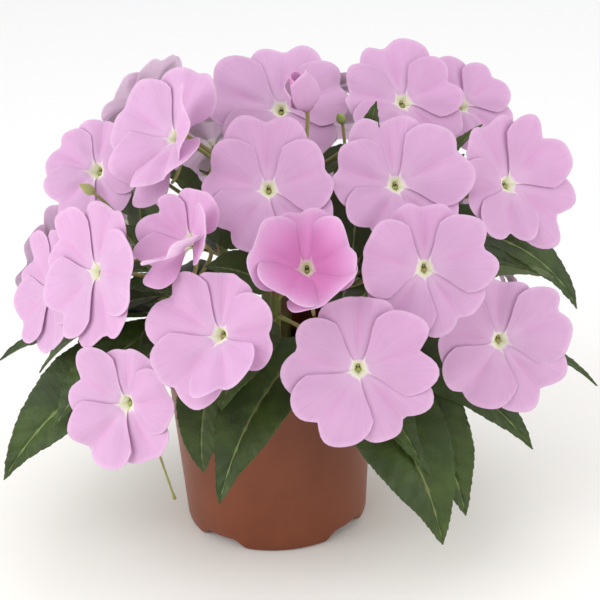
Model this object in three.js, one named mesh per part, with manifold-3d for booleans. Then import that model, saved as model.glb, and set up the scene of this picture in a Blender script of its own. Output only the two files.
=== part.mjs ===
// Potted New Guinea impatiens: a plastic pot, its soil, leafy stems and five-petalled blooms.
// Millimetres, +Z up. The origin is the centre of the pot's flat base, and -Y is the front.
import * as THREE from 'three';
import { mergeVertices } from 'three/addons/utils/BufferGeometryUtils.js';
import Module from 'manifold-3d';

const wasm = await Module();
wasm.setup();

// Pot
const POT_HEIGHT = 102;
const POT_FOOT_RADIUS = 49.2;
const POT_FLARE = 0.073; // growth of the radius for each millimetre of height
const POT_CORNER = 3;
const POT_CORNER_STEPS = 3;
const POT_WALL = 1.6;
const POT_FLOOR = 6.5;
const POT_SIDES = 32;
const RIM_RADIUS = 60;
const RIM_HEIGHT = 13;
const RIM_LIP = 1.2;
const NOTCH_HEIGHT = 4.5;
const NOTCH_DEPTH = 13;
const NOTCH_HALF_ANGLE = 19;
const NOTCH_CROWN = 0.5; // flat top of a notch as a share of its width
const NOTCH_SHOULDER = 0.72; // where its sides bend over, as a share of its width
const NOTCH_BEARINGS = [-39, 51, 141, 231];
const DRAIN_RADIUS = 3;
const DRAIN_REACH = 41;
const DRAIN_SIDES = 8;
const CUT_MARGIN = 4; // how far a cutting shape runs past the face it cuts

// Soil
const SOIL_TOP = 88;
const SOIL_DOME = 3;
const SOIL_SIDES = 16;
const TOUCH_GAP = 0.3; // clearance where one piece rests on another
const HOLE_GAP = 0.45; // how much wider a hole is than its stem, all round

// Stems: name, bearing from the front towards +X, reach at the root, reach and height at the tip
const ROOT_HEIGHT = 64;
const STEM_BOW = 1.4;
const STEM_RADIUS = 4.2;
const STEM_TIP_RADIUS = 2.4;
const STEM_STEPS = 4;
const STEM_SIDES = 6;
const STEMS = [
  ['leafy_stem_01', 0, 4, 10, 198],
  ['leafy_stem_02', 5, 26, 60, 160],
  ['leafy_stem_03', -36, 28, 62, 158],
  ['leafy_stem_04', -76, 28, 66, 165],
  ['leafy_stem_05', 44, 28, 64, 160],
  ['leafy_stem_06', 82, 28, 68, 168],
  ['leafy_stem_07', 124, 28, 64, 158],
  ['leafy_stem_08', 166, 27, 62, 160],
  ['leafy_stem_09', 208, 28, 62, 158],
  ['leafy_stem_10', 248, 28, 66, 160],
];

// Leaves: stem, height up it from 0 to 1, tip in mm, bend in degrees, width in mm, twist in degrees
const LEAF_THICKNESS = 0.8;
const LEAF_FOLD = 18; // degrees that each half rises from the midrib
const LEAF_TOOTH = 0.07;
const LEAF_STALK = 0.1; // stalk length as a share of the leaf's
const LEAF_STALK_HALF = 0.35;
const LEAF_FOOT_HALF = 0.6; // what the stalk gains where it leaves the stem
const LEAF_FOOT = 0.12;
const LEAF_BELLY = 0.8; // below 1 the widest place moves towards the foot
const LEAF_BLUNT = 0.9;
const LEAF_TAPER = 0.15;
const LEAVES = [
  [4, 0.60, [-27, -110, 66], 70, 40, 15],
  [1, 0.80, [-24, -98, 112], 55, 36, 0],
  [4, 0.42, [74, -98, 79], 60, 32, 0],
  [1, 0.98, [-28, -86, 184], 30, 24, 50],
  [2, 0.52, [-36, -72, 63], 105, 30, 0],
  [3, 0.45, [-141, -60, 57], 60, 46, 25],
  [3, 0.62, [-144, -15, 105], 40, 34, 0],
  [4, 0.48, [85, -98, 30], 70, 50, -30],
  [4, 0.58, [98, -85, 39], 70, 46, -30],
  [4, 0.55, [134, -70, 68], 60, 36, -25],
  [5, 0.50, [173, -30, 83], 60, 26, 0],
  [5, 0.90, [162, -25, 126], 100, 36, -25],
  [5, 0.80, [148, -35, 149], 30, 26, 70],
  [5, 0.98, [112, -28, 231], 22, 16, -38],
  [4, 0.98, [59, -33, 247], 15, 30, -30],
  [0, 0.80, [-30, -42, 218], 20, 24, 0],
  [0, 0.88, [70, 18, 204], 40, 34, 0],
  [0, 0.75, [-40, -8, 178], 40, 34, 40],
  [4, 0.95, [86, -36, 168], 40, 30, -30],
  [5, 0.95, [106, 6, 203], 20, 26, -50],
  [3, 0.95, [-62, -34, 208], 20, 26, 30],
];

// Leaves set by rule: height up the stem, degrees aside, reach and height of the tip, bend, width
const LEAF_SEED = 7;
const LEAF_PLACES = {
  skirt_left: [0.50, -14, 140, 58, 66, 40],
  skirt_right: [0.58, 14, 132, 84, 50, 36],
  middle: [0.74, 0, 106, 124, 45, 32],
  upper_left: [0.90, -20, 90, 158, 30, 28],
  upper_right: [0.98, 20, 88, 188, 30, 28],
};
const LEAVES_BY_RULE = [
  [1, ['upper_right']],
  [2, ['middle', 'upper_left']],
  [3, ['skirt_right', 'middle', 'upper_right']],
  [4, ['upper_left', 'upper_right']],
  [5, ['skirt_right', 'upper_right']],
  [6, ['skirt_left', 'skirt_right', 'middle', 'upper_left', 'upper_right']],
  [7, ['skirt_left', 'skirt_right', 'middle', 'upper_left']],
  [8, ['skirt_left', 'skirt_right', 'middle', 'upper_left', 'upper_right']],
  [9, ['skirt_left', 'skirt_right', 'middle', 'upper_right']],
];

// Blooms: name, stem, height up it, throat in mm, turn and climb of the face, roll, span, cup,
// and how far each petal is folded forward: top, upper right, lower right, lower left, upper left
const BLOOMS = [
  ['bloom_01', 1, 1.0, [4, -62, 214], 0, 33, 0, 70, 0.10, [0, 0, 0, 0, 0]],
  ['bloom_02', 4, 1.0, [67, -55, 211], 8, 35, 0, 72, 0.10, [0, 0, 0, 0, 0]],
  ['bloom_03', 5, 1.0, [125, -35, 201], 34, 25, 10, 72, 0.10, [0, 0, 0, 0, 0]],
  ['bloom_04', 0, 0.9, [74, -5, 237], 13, 44, 0, 68, 0.10, [0, 0, 0, 0, 0]],
  ['bloom_05', 4, 0.9, [78, -92, 181], 3, 21, 0, 70, 0.10, [0, 0, 0, 0, 15]],
  ['bloom_06', 1, 0.9, [21, -98, 186], -3, 33, 0, 56, 0.40, [0, 0, 0, 0, 0]],
  ['bloom_07', 1, 0.8, [44, -120, 142], 3, 18, 0, 78, 0.08, [0, 0, 0, 0, 0]],
  ['bloom_08', 4, 0.8, [116, -80, 135], 11, 12, 0, 77, 0.08, [0, 0, 0, 0, 0]],
  ['bloom_09', 1, 0.7, [-22, -112, 159], -29, 19, 0, 72, 0.10, [0, 0, 30, 0, 0]],
  ['bloom_10', 2, 0.7, [-71, -95, 116], -31, 10, 0, 68, 0.10, [0, 0, 0, 0, 0]],
  ['bloom_11', 2, 0.9, [-84, -65, 175], -52, 17, 0, 78, 0.10, [0, 0, 0, 0, 0]],
  ['bloom_12', 3, 0.8, [-112, -25, 149], -62, 17, 0, 68, 0.10, [0, 0, 0, 0, 0]],
  ['bloom_13', 2, 1.0, [-35, -85, 197], -43, 29, 0, 58, 0.30, [0, 20, 50, 0, 0]],
  ['bloom_14', 0, 0.85, [-42, -38, 234], -39, 29, 0, 78, 0.10, [0, 38, 38, 0, 0]],
  ['bloom_15', 3, 1.0, [-85, -10, 208], -30, 28, 0, 60, 0.10, [0, 0, 0, 0, 0]],
  ['bloom_16', 0, 0.95, [-60, 18, 236], -130, 30, 0, 60, 0.10, [0, 0, 0, 0, 0]],
  ['bloom_17', 0, 1.0, [11, 0, 234], -8, 42, 0, 74, 0.10, [0, 0, 0, 0, 0]],
  ['bloom_18', 5, 0.95, [107, 25, 224], 37, 40, 0, 62, 0.10, [0, 0, 0, 0, 0]],
  ['bloom_19', 0, 0.92, [-14, 52, 222], 190, 50, 0, 60, 0.10, [0, 0, 0, 0, 0]],
  ['bloom_20', 0, 0.97, [34, 46, 231], 160, 55, 10, 64, 0.10, [0, 0, 0, 0, 0]],
  ['bloom_21', 5, 0.8, [127, 12, 135], 96, 12, -8, 66, 0.08, [0, 0, 0, 0, 0]],
  ['bloom_22', 6, 0.8, [102, 75, 143], 126, 14, 5, 71, 0.10, [0, 0, 0, 0, 0]],
  ['bloom_23', 7, 0.8, [50, 113, 138], 154, 12, -5, 76, 0.08, [0, 0, 0, 0, 0]],
  ['bloom_24', 8, 0.8, [-17, 123, 146], 190, 18, 12, 70, 0.12, [0, 0, 0, 0, 0]],
  ['bloom_25', 8, 0.75, [-80, 95, 138], 220, 14, 0, 76, 0.08, [0, 0, 0, 0, 0]],
  ['bloom_26', 9, 0.8, [-118, 38, 146], 252, 16, -10, 72, 0.10, [0, 0, 0, 0, 0]],
  ['bloom_27', 6, 1.0, [72, 64, 193], 132, 34, 15, 66, 0.10, [0, 0, 0, 0, 0]],
  ['bloom_28', 7, 1.0, [28, 97, 196], 164, 36, -12, 66, 0.14, [0, 0, 0, 0, 0]],
  ['bloom_29', 8, 1.0, [-29, 87, 186], 198, 32, 0, 66, 0.10, [0, 0, 0, 0, 0]],
  ['bloom_30', 8, 0.95, [-78, 65, 196], 230, 36, 8, 66, 0.10, [0, 0, 0, 0, 0]],
  ['bloom_31', 9, 1.0, [-92, 18, 190], 258, 30, 0, 60, 0.12, [0, 0, 0, 0, 0]],
];

// Buds: stem, height up it, middle in mm, turn and climb of the axis, length
const SMALL_BUDS = [
  [4, 0.97, [41, -30, 238], -20, 50, 9],
  [4, 0.99, [50, -38, 236], 30, 40, 8],
  [3, 0.97, [-86, -52, 214], -60, 40, 10],
  [6, 0.97, [96, 36, 178], 110, 35, 9],
];
const BUD_SIDES = 5;
const BUD_GIRTH = 0.3; // radius of a small bud as a share of its length
const OPENING_BUD = ['bud_opening', 1, 0.98, [22, -40, 256], -25, 62];
const OPENING_BUD_LENGTH = 27;
const OPENING_BUD_RADIUS = 8.6;
const OPENING_BUD_CORE = 0.9; // size of the core inside the wrapped petals
const BUD_WRAPS = [[-70, 1.0, 0.86], [100, 1.2, 1.0]]; // middle angle, girth, height

// A spent flower stalk that hangs over the rim: its points in mm
const SPENT_STALK_STEM = 3;
const SPENT_STALK = [[-48, -12, 121], [-74, -38, 112], [-62, -48, 70], [-54, -43, 32]];
const SPENT_STALK_RADIUS = 0.9;

// Petals, from the top one clockwise: angle, reach and half spread in degrees, layer height in mm
const PETALS = [
  [90, 0.94, 46, -1.6],
  [18, 1.0, 45, 0.0],
  [-54, 1.02, 46, -1.6],
  [-126, 1.02, 46, 1.6],
  [162, 1.0, 45, 0.0],
];
const PETAL_THICKNESS = 0.8;
const PETAL_NOTCH = 0.09; // depth of the notch in a petal's edge, as a share of its reach
const TOP_PETAL_NOTCH = 0.05;
const PETAL_NOTCH_WIDTH = 0.16;
const PETAL_SHOULDER = 0.34; // how far the edge falls back at the petal's sides
const PETAL_ROUND = 3.2;
const PETAL_WAIST = 0.7; // narrower near the throat, full width at PETAL_FULL of the reach
const PETAL_FULL = 0.6;
const PETAL_FOOT = 0.1; // where a petal starts, as a share of its reach

// Throat, spur and flower stalk
const THROAT_SHARE = 0.17;
const THROAT_DEPTH = 10;
const THROAT_END_RADIUS = 2.2;
const THROAT_SHOULDER = 3.4;
const THROAT_LIP = 2.2;
const THROAT_NECK = 0.85; // radius at the shoulder as a share of the front's
const SPUR_PATH = [[0, 0, -4], [0, -6, -10], [2, -16, -10], [3, -22, -4]];
const SPUR_RADIUS = 1.5;
const SPUR_TIP_RADIUS = 0.8;
const STALK_RADIUS = 1.3;
const STALK_STRAIGHT = 16;
const STALK_RISE = 4;
const STALK_REACH = 0.4; // share of the way at which a stalk leaves its first direction

const radians = THREE.MathUtils.degToRad;
const vec = (x, y, z) => new THREE.Vector3(x, y, z);
const smooth = (x) => THREE.MathUtils.smoothstep(x, 0, 1);

// Solids from closed triangle meshes, and back
function solidOf(geometry) {
  const plain = geometry.clone();
  plain.deleteAttribute('normal');
  plain.deleteAttribute('uv');
  const merged = mergeVertices(plain, 1e-4);
  return new wasm.Manifold(new wasm.Mesh({
    numProp: 3,
    vertProperties: new Float32Array(merged.attributes.position.array),
    triVerts: new Uint32Array(merged.index.array),
  }));
}

function geometryOf(solid) {
  const mesh = solid.getMesh();
  const geometry = new THREE.BufferGeometry();
  geometry.setAttribute('position', new THREE.BufferAttribute(mesh.vertProperties, 3));
  geometry.setIndex(new THREE.BufferAttribute(mesh.triVerts, 1));
  return geometry;
}

function solidFromFaces(points, faces) {
  const geometry = new THREE.BufferGeometry();
  geometry.setFromPoints(points);
  geometry.setIndex(faces.flat());
  return solidOf(geometry);
}

// A solid turned round the Z axis from its outline of radius and height
function turned(profile, sides) {
  const geometry = new THREE.LatheGeometry(profile, sides);
  geometry.rotateX(Math.PI / 2);
  return solidOf(geometry);
}

const joined = (solids) => solids.reduce((sum, next) => sum.add(next));

// A direction at a bearing, measured from the front (-Y) towards +X
const outward = (bearing) => vec(Math.sin(radians(bearing)), -Math.cos(radians(bearing)), 0);

const TANGENT_STEP = 0.01;
const UPRIGHT = 0.9;

// A closed tube of rings round the points of a path, with a radius that may change along it
function limb(pointAt, radiusAt, steps, sides) {
  const points = [];
  const faces = [];
  let normal = null;
  for (let i = 0; i <= steps; i += 1) {
    const u = i / steps;
    const centre = pointAt(u);
    const ahead = pointAt(Math.min(1, u + TANGENT_STEP));
    const behind = pointAt(Math.max(0, u - TANGENT_STEP));
    const tangent = ahead.sub(behind).normalize();
    if (!normal) normal = Math.abs(tangent.z) > UPRIGHT ? vec(1, 0, 0) : vec(0, 0, 1);
    normal = normal.clone().addScaledVector(tangent, -normal.dot(tangent)).normalize();
    const binormal = tangent.clone().cross(normal);
    const radius = radiusAt(u);
    for (let k = 0; k < sides; k += 1) {
      const a = (2 * Math.PI * k) / sides;
      points.push(centre.clone()
        .addScaledVector(normal, radius * Math.cos(a))
        .addScaledVector(binormal, radius * Math.sin(a)));
    }
  }
  for (let i = 0; i < steps; i += 1) {
    for (let k = 0; k < sides; k += 1) {
      const a = i * sides + k;
      const b = i * sides + ((k + 1) % sides);
      faces.push([a, b, b + sides], [a, b + sides, a + sides]);
    }
  }
  for (let k = 1; k < sides - 1; k += 1) {
    const last = steps * sides;
    faces.push([0, k + 1, k], [last, last + k, last + k + 1]);
  }
  return solidFromFaces(points, faces);
}

// A blade from the points of its two faces, the rim that joins them and the triangles of the top
function blade(top, under, rim, cells) {
  const count = top.length;
  const faces = [];
  for (const [a, b, c] of cells) {
    faces.push([a, b, c], [a + count, c + count, b + count]);
  }
  for (let i = 0; i < rim.length; i += 1) {
    const a = rim[i];
    const b = rim[(i + 1) % rim.length];
    faces.push([a, a + count, b + count], [a, b + count, b]);
  }
  return solidFromFaces([...top, ...under], faces);
}

// Pot: a turned wall with a thick floor, four arched notches at the foot and drain holes
function wallRadius(z) {
  return POT_FOOT_RADIUS + POT_FLARE * z;
}

function potShell() {
  const profile = [];
  profile.push(new THREE.Vector2(0, 0));
  for (let i = 0; i <= POT_CORNER_STEPS; i += 1) {
    const a = (Math.PI / 2) * (i / POT_CORNER_STEPS);
    profile.push(new THREE.Vector2(
      POT_FOOT_RADIUS - POT_CORNER + POT_CORNER * Math.sin(a),
      POT_CORNER - POT_CORNER * Math.cos(a),
    ));
  }
  const rimFoot = POT_HEIGHT - RIM_HEIGHT;
  profile.push(new THREE.Vector2(wallRadius(rimFoot), rimFoot));
  profile.push(new THREE.Vector2(RIM_RADIUS - RIM_LIP, rimFoot + RIM_LIP));
  profile.push(new THREE.Vector2(RIM_RADIUS, POT_HEIGHT - RIM_LIP));
  profile.push(new THREE.Vector2(RIM_RADIUS - RIM_LIP, POT_HEIGHT));
  profile.push(new THREE.Vector2(wallRadius(POT_HEIGHT) - POT_WALL, POT_HEIGHT - RIM_LIP));
  profile.push(new THREE.Vector2(wallRadius(POT_FLOOR) - POT_WALL, POT_FLOOR));
  profile.push(new THREE.Vector2(0, POT_FLOOR));
  return turned(profile, POT_SIDES);
}

function notchTool(bearing) {
  const arch = new THREE.Shape();
  const halfWidth = POT_FOOT_RADIUS * Math.sin(radians(NOTCH_HALF_ANGLE));
  const shoulder = halfWidth * NOTCH_SHOULDER;
  const crown = halfWidth * NOTCH_CROWN;
  arch.moveTo(-halfWidth, -1);
  arch.lineTo(halfWidth, -1);
  arch.quadraticCurveTo(shoulder, NOTCH_HEIGHT, crown, NOTCH_HEIGHT);
  arch.lineTo(-crown, NOTCH_HEIGHT);
  arch.quadraticCurveTo(-shoulder, NOTCH_HEIGHT, -halfWidth, -1);
  const tool = new THREE.ExtrudeGeometry(arch, {
    depth: NOTCH_DEPTH + CUT_MARGIN, bevelEnabled: false, curveSegments: 2,
  });
  tool.rotateX(Math.PI / 2);
  tool.translate(0, NOTCH_DEPTH - POT_FOOT_RADIUS, 0);
  tool.rotateZ(radians(bearing));
  return solidOf(tool);
}

function drainTool(bearing) {
  const height = 2 * (POT_FLOOR + CUT_MARGIN);
  const tool = new THREE.CylinderGeometry(DRAIN_RADIUS, DRAIN_RADIUS, height, DRAIN_SIDES);
  tool.rotateX(Math.PI / 2);
  const place = outward(bearing).multiplyScalar(DRAIN_REACH);
  tool.translate(place.x, place.y, 0);
  return solidOf(tool);
}

function pot() {
  let solid = potShell();
  for (const bearing of NOTCH_BEARINGS) {
    solid = solid.subtract(notchTool(bearing)).subtract(drainTool(bearing));
  }
  return solid;
}

// Soil: a plug that fills the pot, gently domed, with a plain hole for each stem
function soil(stemHoles) {
  const bottom = POT_FLOOR + TOUCH_GAP;
  const edge = SOIL_TOP - SOIL_DOME;
  const inner = (z) => wallRadius(z) - POT_WALL - TOUCH_GAP;
  const profile = [
    new THREE.Vector2(0, bottom),
    new THREE.Vector2(inner(bottom), bottom),
    new THREE.Vector2(inner(edge), edge),
    new THREE.Vector2(0, SOIL_TOP),
  ];
  const plug = turned(profile, SOIL_SIDES);
  return stemHoles.reduce((sum, hole) => sum.subtract(hole), plug);
}

// Stems
function stemPoint(stem, up) {
  const [, bearing, rootReach, tipReach, tipHeight] = stem;
  const reach = rootReach + (tipReach - rootReach) * Math.max(0, up) ** STEM_BOW;
  const point = outward(bearing).multiplyScalar(reach);
  point.z = ROOT_HEIGHT + (tipHeight - ROOT_HEIGHT) * up;
  return point;
}

const stemRadius = (up) => STEM_RADIUS + (STEM_TIP_RADIUS - STEM_RADIUS) * up;

function stemLimb(stem, extra) {
  return limb((u) => stemPoint(stem, u), (u) => stemRadius(u) + extra, STEM_STEPS, STEM_SIDES);
}

const stemHole = (stem) => stemLimb(stem, HOLE_GAP).translate(0, 0, -TOUCH_GAP);

// Leaf: an arc from its foot to its tip in an upright plane, widest below the middle, folded
// along the midrib and toothed at the edge
function leafFrame(foot, tip, bend, twist) {
  const gap = tip.clone().sub(foot);
  const run = Math.hypot(gap.x, gap.y);
  const heading = vec(gap.x / run, gap.y / run, 0);
  const turn = radians(bend);
  const length = (gap.length() * turn) / 2 / Math.sin(turn / 2);
  const rise = Math.atan2(gap.z, run) + turn / 2;
  const right = heading.clone().cross(vec(0, 0, 1));
  return (s) => {
    const slope = rise - turn * s;
    const along = (length * (Math.sin(rise) - Math.sin(slope))) / turn;
    const climb = (length * (Math.cos(slope) - Math.cos(rise))) / turn;
    const centre = foot.clone().addScaledVector(heading, along);
    centre.z += climb;
    const upright = heading.clone().multiplyScalar(-Math.sin(slope));
    upright.z = Math.cos(slope);
    const side = right.clone().multiplyScalar(Math.cos(radians(twist)))
      .addScaledVector(upright, Math.sin(radians(twist)));
    const normal = upright.clone().multiplyScalar(Math.cos(radians(twist)))
      .addScaledVector(right, -Math.sin(radians(twist)));
    return { centre, side, normal };
  };
}

function leafHalfWidth(s, width) {
  const share = Math.max(0, (s - LEAF_STALK) / (1 - LEAF_STALK));
  const lobe = Math.sin(Math.PI * share ** LEAF_BELLY) ** LEAF_BLUNT * (1 - LEAF_TAPER * share);
  const foot = LEAF_FOOT_HALF * (1 - smooth(s / LEAF_FOOT));
  return 0.5 * width * Math.max(0, lobe) + foot + LEAF_STALK_HALF;
}

const LEAF_SIDE = [0, 0.18, 0.36, 0.54, 0.72, 0.88];
const LEAF_MIDRIB = [0.36, 0.72];
const RIB_LEAD = 0.17; // how far the edge runs ahead of the midrib as triangles are laid

function leaf(foot, tip, bend, width, twist) {
  const frame = leafFrame(foot, tip, bend, twist);
  const top = [];
  const under = [];
  const add = (s, v, tooth) => {
    const { centre, side, normal } = frame(s);
    const offset = v * leafHalfWidth(s, width) * tooth;
    const raised = Math.abs(offset) * Math.tan(radians(LEAF_FOLD));
    const point = centre.addScaledVector(side, offset).addScaledVector(normal, raised);
    top.push(point);
    under.push(point.clone().addScaledVector(normal, -LEAF_THICKNESS));
    return top.length - 1;
  };
  const chain = (v) => LEAF_SIDE.map((s, i) => add(s, v, 1 + (i % 2 ? LEAF_TOOTH : -LEAF_TOOTH)));
  const right = chain(1);
  const left = chain(-1);
  const apex = add(1, 0, 1);
  const middle = LEAF_MIDRIB.map((s) => add(s, 0, 1));
  const cells = [[right[0], middle[0], left[0]]];
  const stitch = (edge, flip) => {
    let i = 0;
    let j = 0;
    const inner = [...middle, apex];
    const innerAt = [...LEAF_MIDRIB, 1];
    while (i < edge.length - 1 || j < inner.length - 1) {
      const nextEdge = i < edge.length - 1 ? LEAF_SIDE[i + 1] : Infinity;
      const nextInner = j < inner.length - 1 ? innerAt[j + 1] : Infinity;
      const takeEdge = nextEdge < Infinity && nextEdge + RIB_LEAD <= nextInner;
      const cell = takeEdge ? [edge[i], edge[i + 1], inner[j]] : [edge[i], inner[j + 1], inner[j]];
      if (takeEdge) i += 1;
      else j += 1;
      cells.push(flip ? [cell[0], cell[2], cell[1]] : cell);
    }
  };
  stitch(right, false);
  stitch(left, true);
  const rim = [...right, apex, ...[...left].reverse()];
  return blade(top, under, rim, cells);
}

// Bloom: five notched petals in layers round a throat, which runs back to a blunt end and a spur
function petalEdge(v, notch) {
  const dip = notch * Math.exp(-((v / PETAL_NOTCH_WIDTH) ** 2));
  return 1 - dip - PETAL_SHOULDER * Math.abs(v) ** PETAL_ROUND;
}

function petalPoint(t, v, index, span, cup, lift, sink) {
  const [angle, reach, spread, level] = PETALS[index];
  const notch = index === 0 ? TOP_PETAL_NOTCH : PETAL_NOTCH;
  const length = (span / 2) * reach;
  const fan = PETAL_WAIST + (1 - PETAL_WAIST) * smooth(t / PETAL_FULL);
  const turn = v * radians(spread) * fan;
  const r = length * t * petalEdge(v, notch);
  const height = length * cup * t * t + level - sink;
  const point = vec(r * Math.cos(turn), r * Math.sin(turn), height);
  const hinge = length * PETAL_FOOT;
  point.x -= hinge;
  point.applyAxisAngle(vec(0, 1, 0), -radians(lift));
  point.x += hinge;
  return point.applyAxisAngle(vec(0, 0, 1), radians(angle));
}

const PETAL_RIM = [
  [PETAL_FOOT, -1], [1, -1], [1, -0.45], [1, 0], [1, 0.45], [1, 1], [PETAL_FOOT, 1],
];
const PETAL_MIDDLE = [0.62, 0];

function petal(index, span, cup, lift) {
  const at = (sink) => [...PETAL_RIM, PETAL_MIDDLE]
    .map(([t, v]) => petalPoint(t, v, index, span, cup, lift, sink));
  const rim = PETAL_RIM.map((_, i) => i);
  const cells = rim.map((i) => [i, (i + 1) % rim.length, rim.length]);
  return blade(at(0), at(PETAL_THICKNESS), rim, cells);
}

function throat(span) {
  const front = THROAT_SHARE * (span / 2);
  const profile = [
    new THREE.Vector2(0, -THROAT_DEPTH),
    new THREE.Vector2(THROAT_END_RADIUS, -THROAT_DEPTH),
    new THREE.Vector2(front * THROAT_NECK, -THROAT_SHOULDER),
    new THREE.Vector2(front, THROAT_LIP),
    new THREE.Vector2(0, THROAT_LIP),
  ];
  return turned(profile, PETALS.length).rotate(0, 0, 180 / PETALS.length);
}

function spur() {
  const curve = new THREE.CubicBezierCurve3(...SPUR_PATH.map((point) => vec(...point)));
  const radiusAt = (u) => SPUR_RADIUS + (SPUR_TIP_RADIUS - SPUR_RADIUS) * u;
  return limb((u) => curve.getPoint(u), radiusAt, 3, 3);
}

// The direction in which a bloom or bud faces
function axisOf(turn, climb) {
  const axis = outward(turn).multiplyScalar(Math.cos(radians(climb)));
  axis.z = Math.sin(radians(climb));
  return axis;
}

// The turned frame of a bloom or bud: x to the right, y up and z out of its face
function faceFrame(place, turn, climb, roll) {
  const out = axisOf(turn, climb);
  const across = vec(Math.cos(radians(turn)), Math.sin(radians(turn)), 0);
  const x = across.clone().applyAxisAngle(out, radians(roll));
  const y = out.clone().cross(x);
  return new THREE.Matrix4().makeBasis(x, y, out).setPosition(vec(...place));
}

function placed(solid, matrix) {
  return solid.transform(matrix.elements);
}

function bloom(row) {
  const [, , , place, turn, climb, roll, span, cup, lifts] = row;
  const petals = lifts.map((lift, index) => petal(index, span, cup, lift));
  const head = joined([throat(span), spur(), ...petals]);
  return placed(head, faceFrame(place, turn, climb, roll));
}

// Buds: an egg of a few sides, and an opening one wrapped in two petals
const EGG_STEPS = [0, 0.12, 0.45, 0.8, 1];
const EGG_LOW = 0.85;
const EGG_FULL = 0.7;

function eggRadius(share) {
  if (share === 0 || share === 1) return 0;
  return Math.sin(Math.PI * share ** EGG_LOW) ** EGG_FULL;
}

function egg(length, radius) {
  const profile = EGG_STEPS.map((share) => (
    new THREE.Vector2(radius * eggRadius(share), length * (share - 0.5))
  ));
  return turned(profile, BUD_SIDES);
}

const WRAP_RINGS = [[0.1, 0.3], [0.5, 0.98], [1, 0.75]]; // height and radius, as shares
const WRAP_ANGLES = [-78, 0, 78];
const WRAP_CORNER = 0.86; // height of a wrapped petal's corners as a share of its middle's

function budWrap(middleAngle, girth, height) {
  const columns = WRAP_ANGLES.length;
  const lastRow = columns * (WRAP_RINGS.length - 1);
  const shell = (inset) => WRAP_RINGS.flatMap(([share, swell]) => WRAP_ANGLES.map((side) => {
    const at = share * height * (share === 1 && side !== 0 ? WRAP_CORNER : 1);
    const radius = OPENING_BUD_RADIUS * swell * (1 + (girth - 1) * share) - inset;
    const angle = radians(middleAngle + side);
    return vec(radius * Math.cos(angle), radius * Math.sin(angle), OPENING_BUD_LENGTH * (at - 0.5));
  }));
  const cells = [0, 1, columns, columns + 1].flatMap((a) => (
    [[a, a + 1, a + columns + 1], [a, a + columns + 1, a + columns]]
  ));
  const rim = [0, 1, 2, columns + 2, lastRow + 2, lastRow + 1, lastRow, columns];
  return blade(shell(0), shell(PETAL_THICKNESS), rim, cells);
}

function openingBud() {
  const [, , , middle, turn, climb] = OPENING_BUD;
  const core = egg(OPENING_BUD_LENGTH * OPENING_BUD_CORE, OPENING_BUD_RADIUS * OPENING_BUD_CORE);
  const wraps = BUD_WRAPS.map((wrap) => budWrap(...wrap));
  return placed(joined([core, ...wraps]), faceFrame(middle, turn, climb, 0));
}

// A stalk from a point of the stem to an end that it meets along the end's own axis
function stalkTo(from, end, axis, straight) {
  const before = end.clone().addScaledVector(axis, -straight);
  const after = from.clone().lerp(before, STALK_REACH);
  after.z += STALK_RISE;
  const curve = new THREE.CubicBezierCurve3(from, after, before, end);
  return limb((u) => curve.getPoint(u), () => STALK_RADIUS, 3, 3);
}

// Flower stalk: from the stem to the blunt end of the throat, arriving square to it
function flowerStalk(row) {
  const [, stemIndex, up, place, turn, climb] = row;
  const axis = axisOf(turn, climb);
  const end = vec(...place).addScaledVector(axis, -(THROAT_DEPTH + TOUCH_GAP));
  return stalkTo(stemPoint(STEMS[stemIndex], up), end, axis, STALK_STRAIGHT);
}

function smallBudOnStalk(row) {
  const [stemIndex, up, middle, turn, climb, length] = row;
  const axis = axisOf(turn, climb);
  const end = vec(...middle).addScaledVector(axis, -BUD_GIRTH * length);
  const bud = placed(egg(length, BUD_GIRTH * length), faceFrame(middle, turn, climb, 0));
  return bud.add(stalkTo(stemPoint(STEMS[stemIndex], up), end, axis, length));
}

function openingBudStalk() {
  const [, stemIndex, up, middle, turn, climb] = OPENING_BUD;
  const axis = axisOf(turn, climb);
  const below = (OPENING_BUD_LENGTH * OPENING_BUD_CORE) / 2 + TOUCH_GAP;
  const end = vec(...middle).addScaledVector(axis, -below);
  return stalkTo(stemPoint(STEMS[stemIndex], up), end, axis, STALK_STRAIGHT);
}

function spentStalk() {
  const curve = new THREE.CatmullRomCurve3(SPENT_STALK.map((point) => vec(...point)));
  return limb((u) => curve.getPoint(u), () => SPENT_STALK_RADIUS, 6, 3);
}

// The leaves that a rule sets, each moved a little by a seeded draw
function ruledLeaves() {
  let seed = LEAF_SEED;
  const draw = (range) => {
    seed = (Math.imul(seed, 1664525) + 1013904223) >>> 0;
    return range * (seed / 2 ** 31 - 1);
  };
  const rows = [];
  for (const [index, places] of LEAVES_BY_RULE) {
    for (const place of places) {
      const [up, aside, reach, height, bend, width] = LEAF_PLACES[place];
      const tip = outward(STEMS[index][1] + aside + draw(4)).multiplyScalar(reach + draw(6));
      tip.z = height + draw(5);
      rows.push([index, up + draw(0.02), tip.toArray(), bend + draw(8), width + draw(3), draw(8)]);
    }
  }
  return rows;
}

const allLeaves = [...LEAVES, ...ruledLeaves()];

function leafyStem(index) {
  const solids = [stemLimb(STEMS[index], 0)];
  for (const [owner, up, tip, bend, width, twist] of allLeaves) {
    if (owner === index) solids.push(leaf(stemPoint(STEMS[index], up), vec(...tip), bend, width, twist));
  }
  for (const row of BLOOMS) {
    if (row[1] === index) solids.push(flowerStalk(row));
  }
  for (const row of SMALL_BUDS) {
    if (row[0] === index) solids.push(smallBudOnStalk(row));
  }
  if (OPENING_BUD[1] === index) solids.push(openingBudStalk());
  if (SPENT_STALK_STEM === index) solids.push(spentStalk());
  return joined(solids);
}

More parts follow.
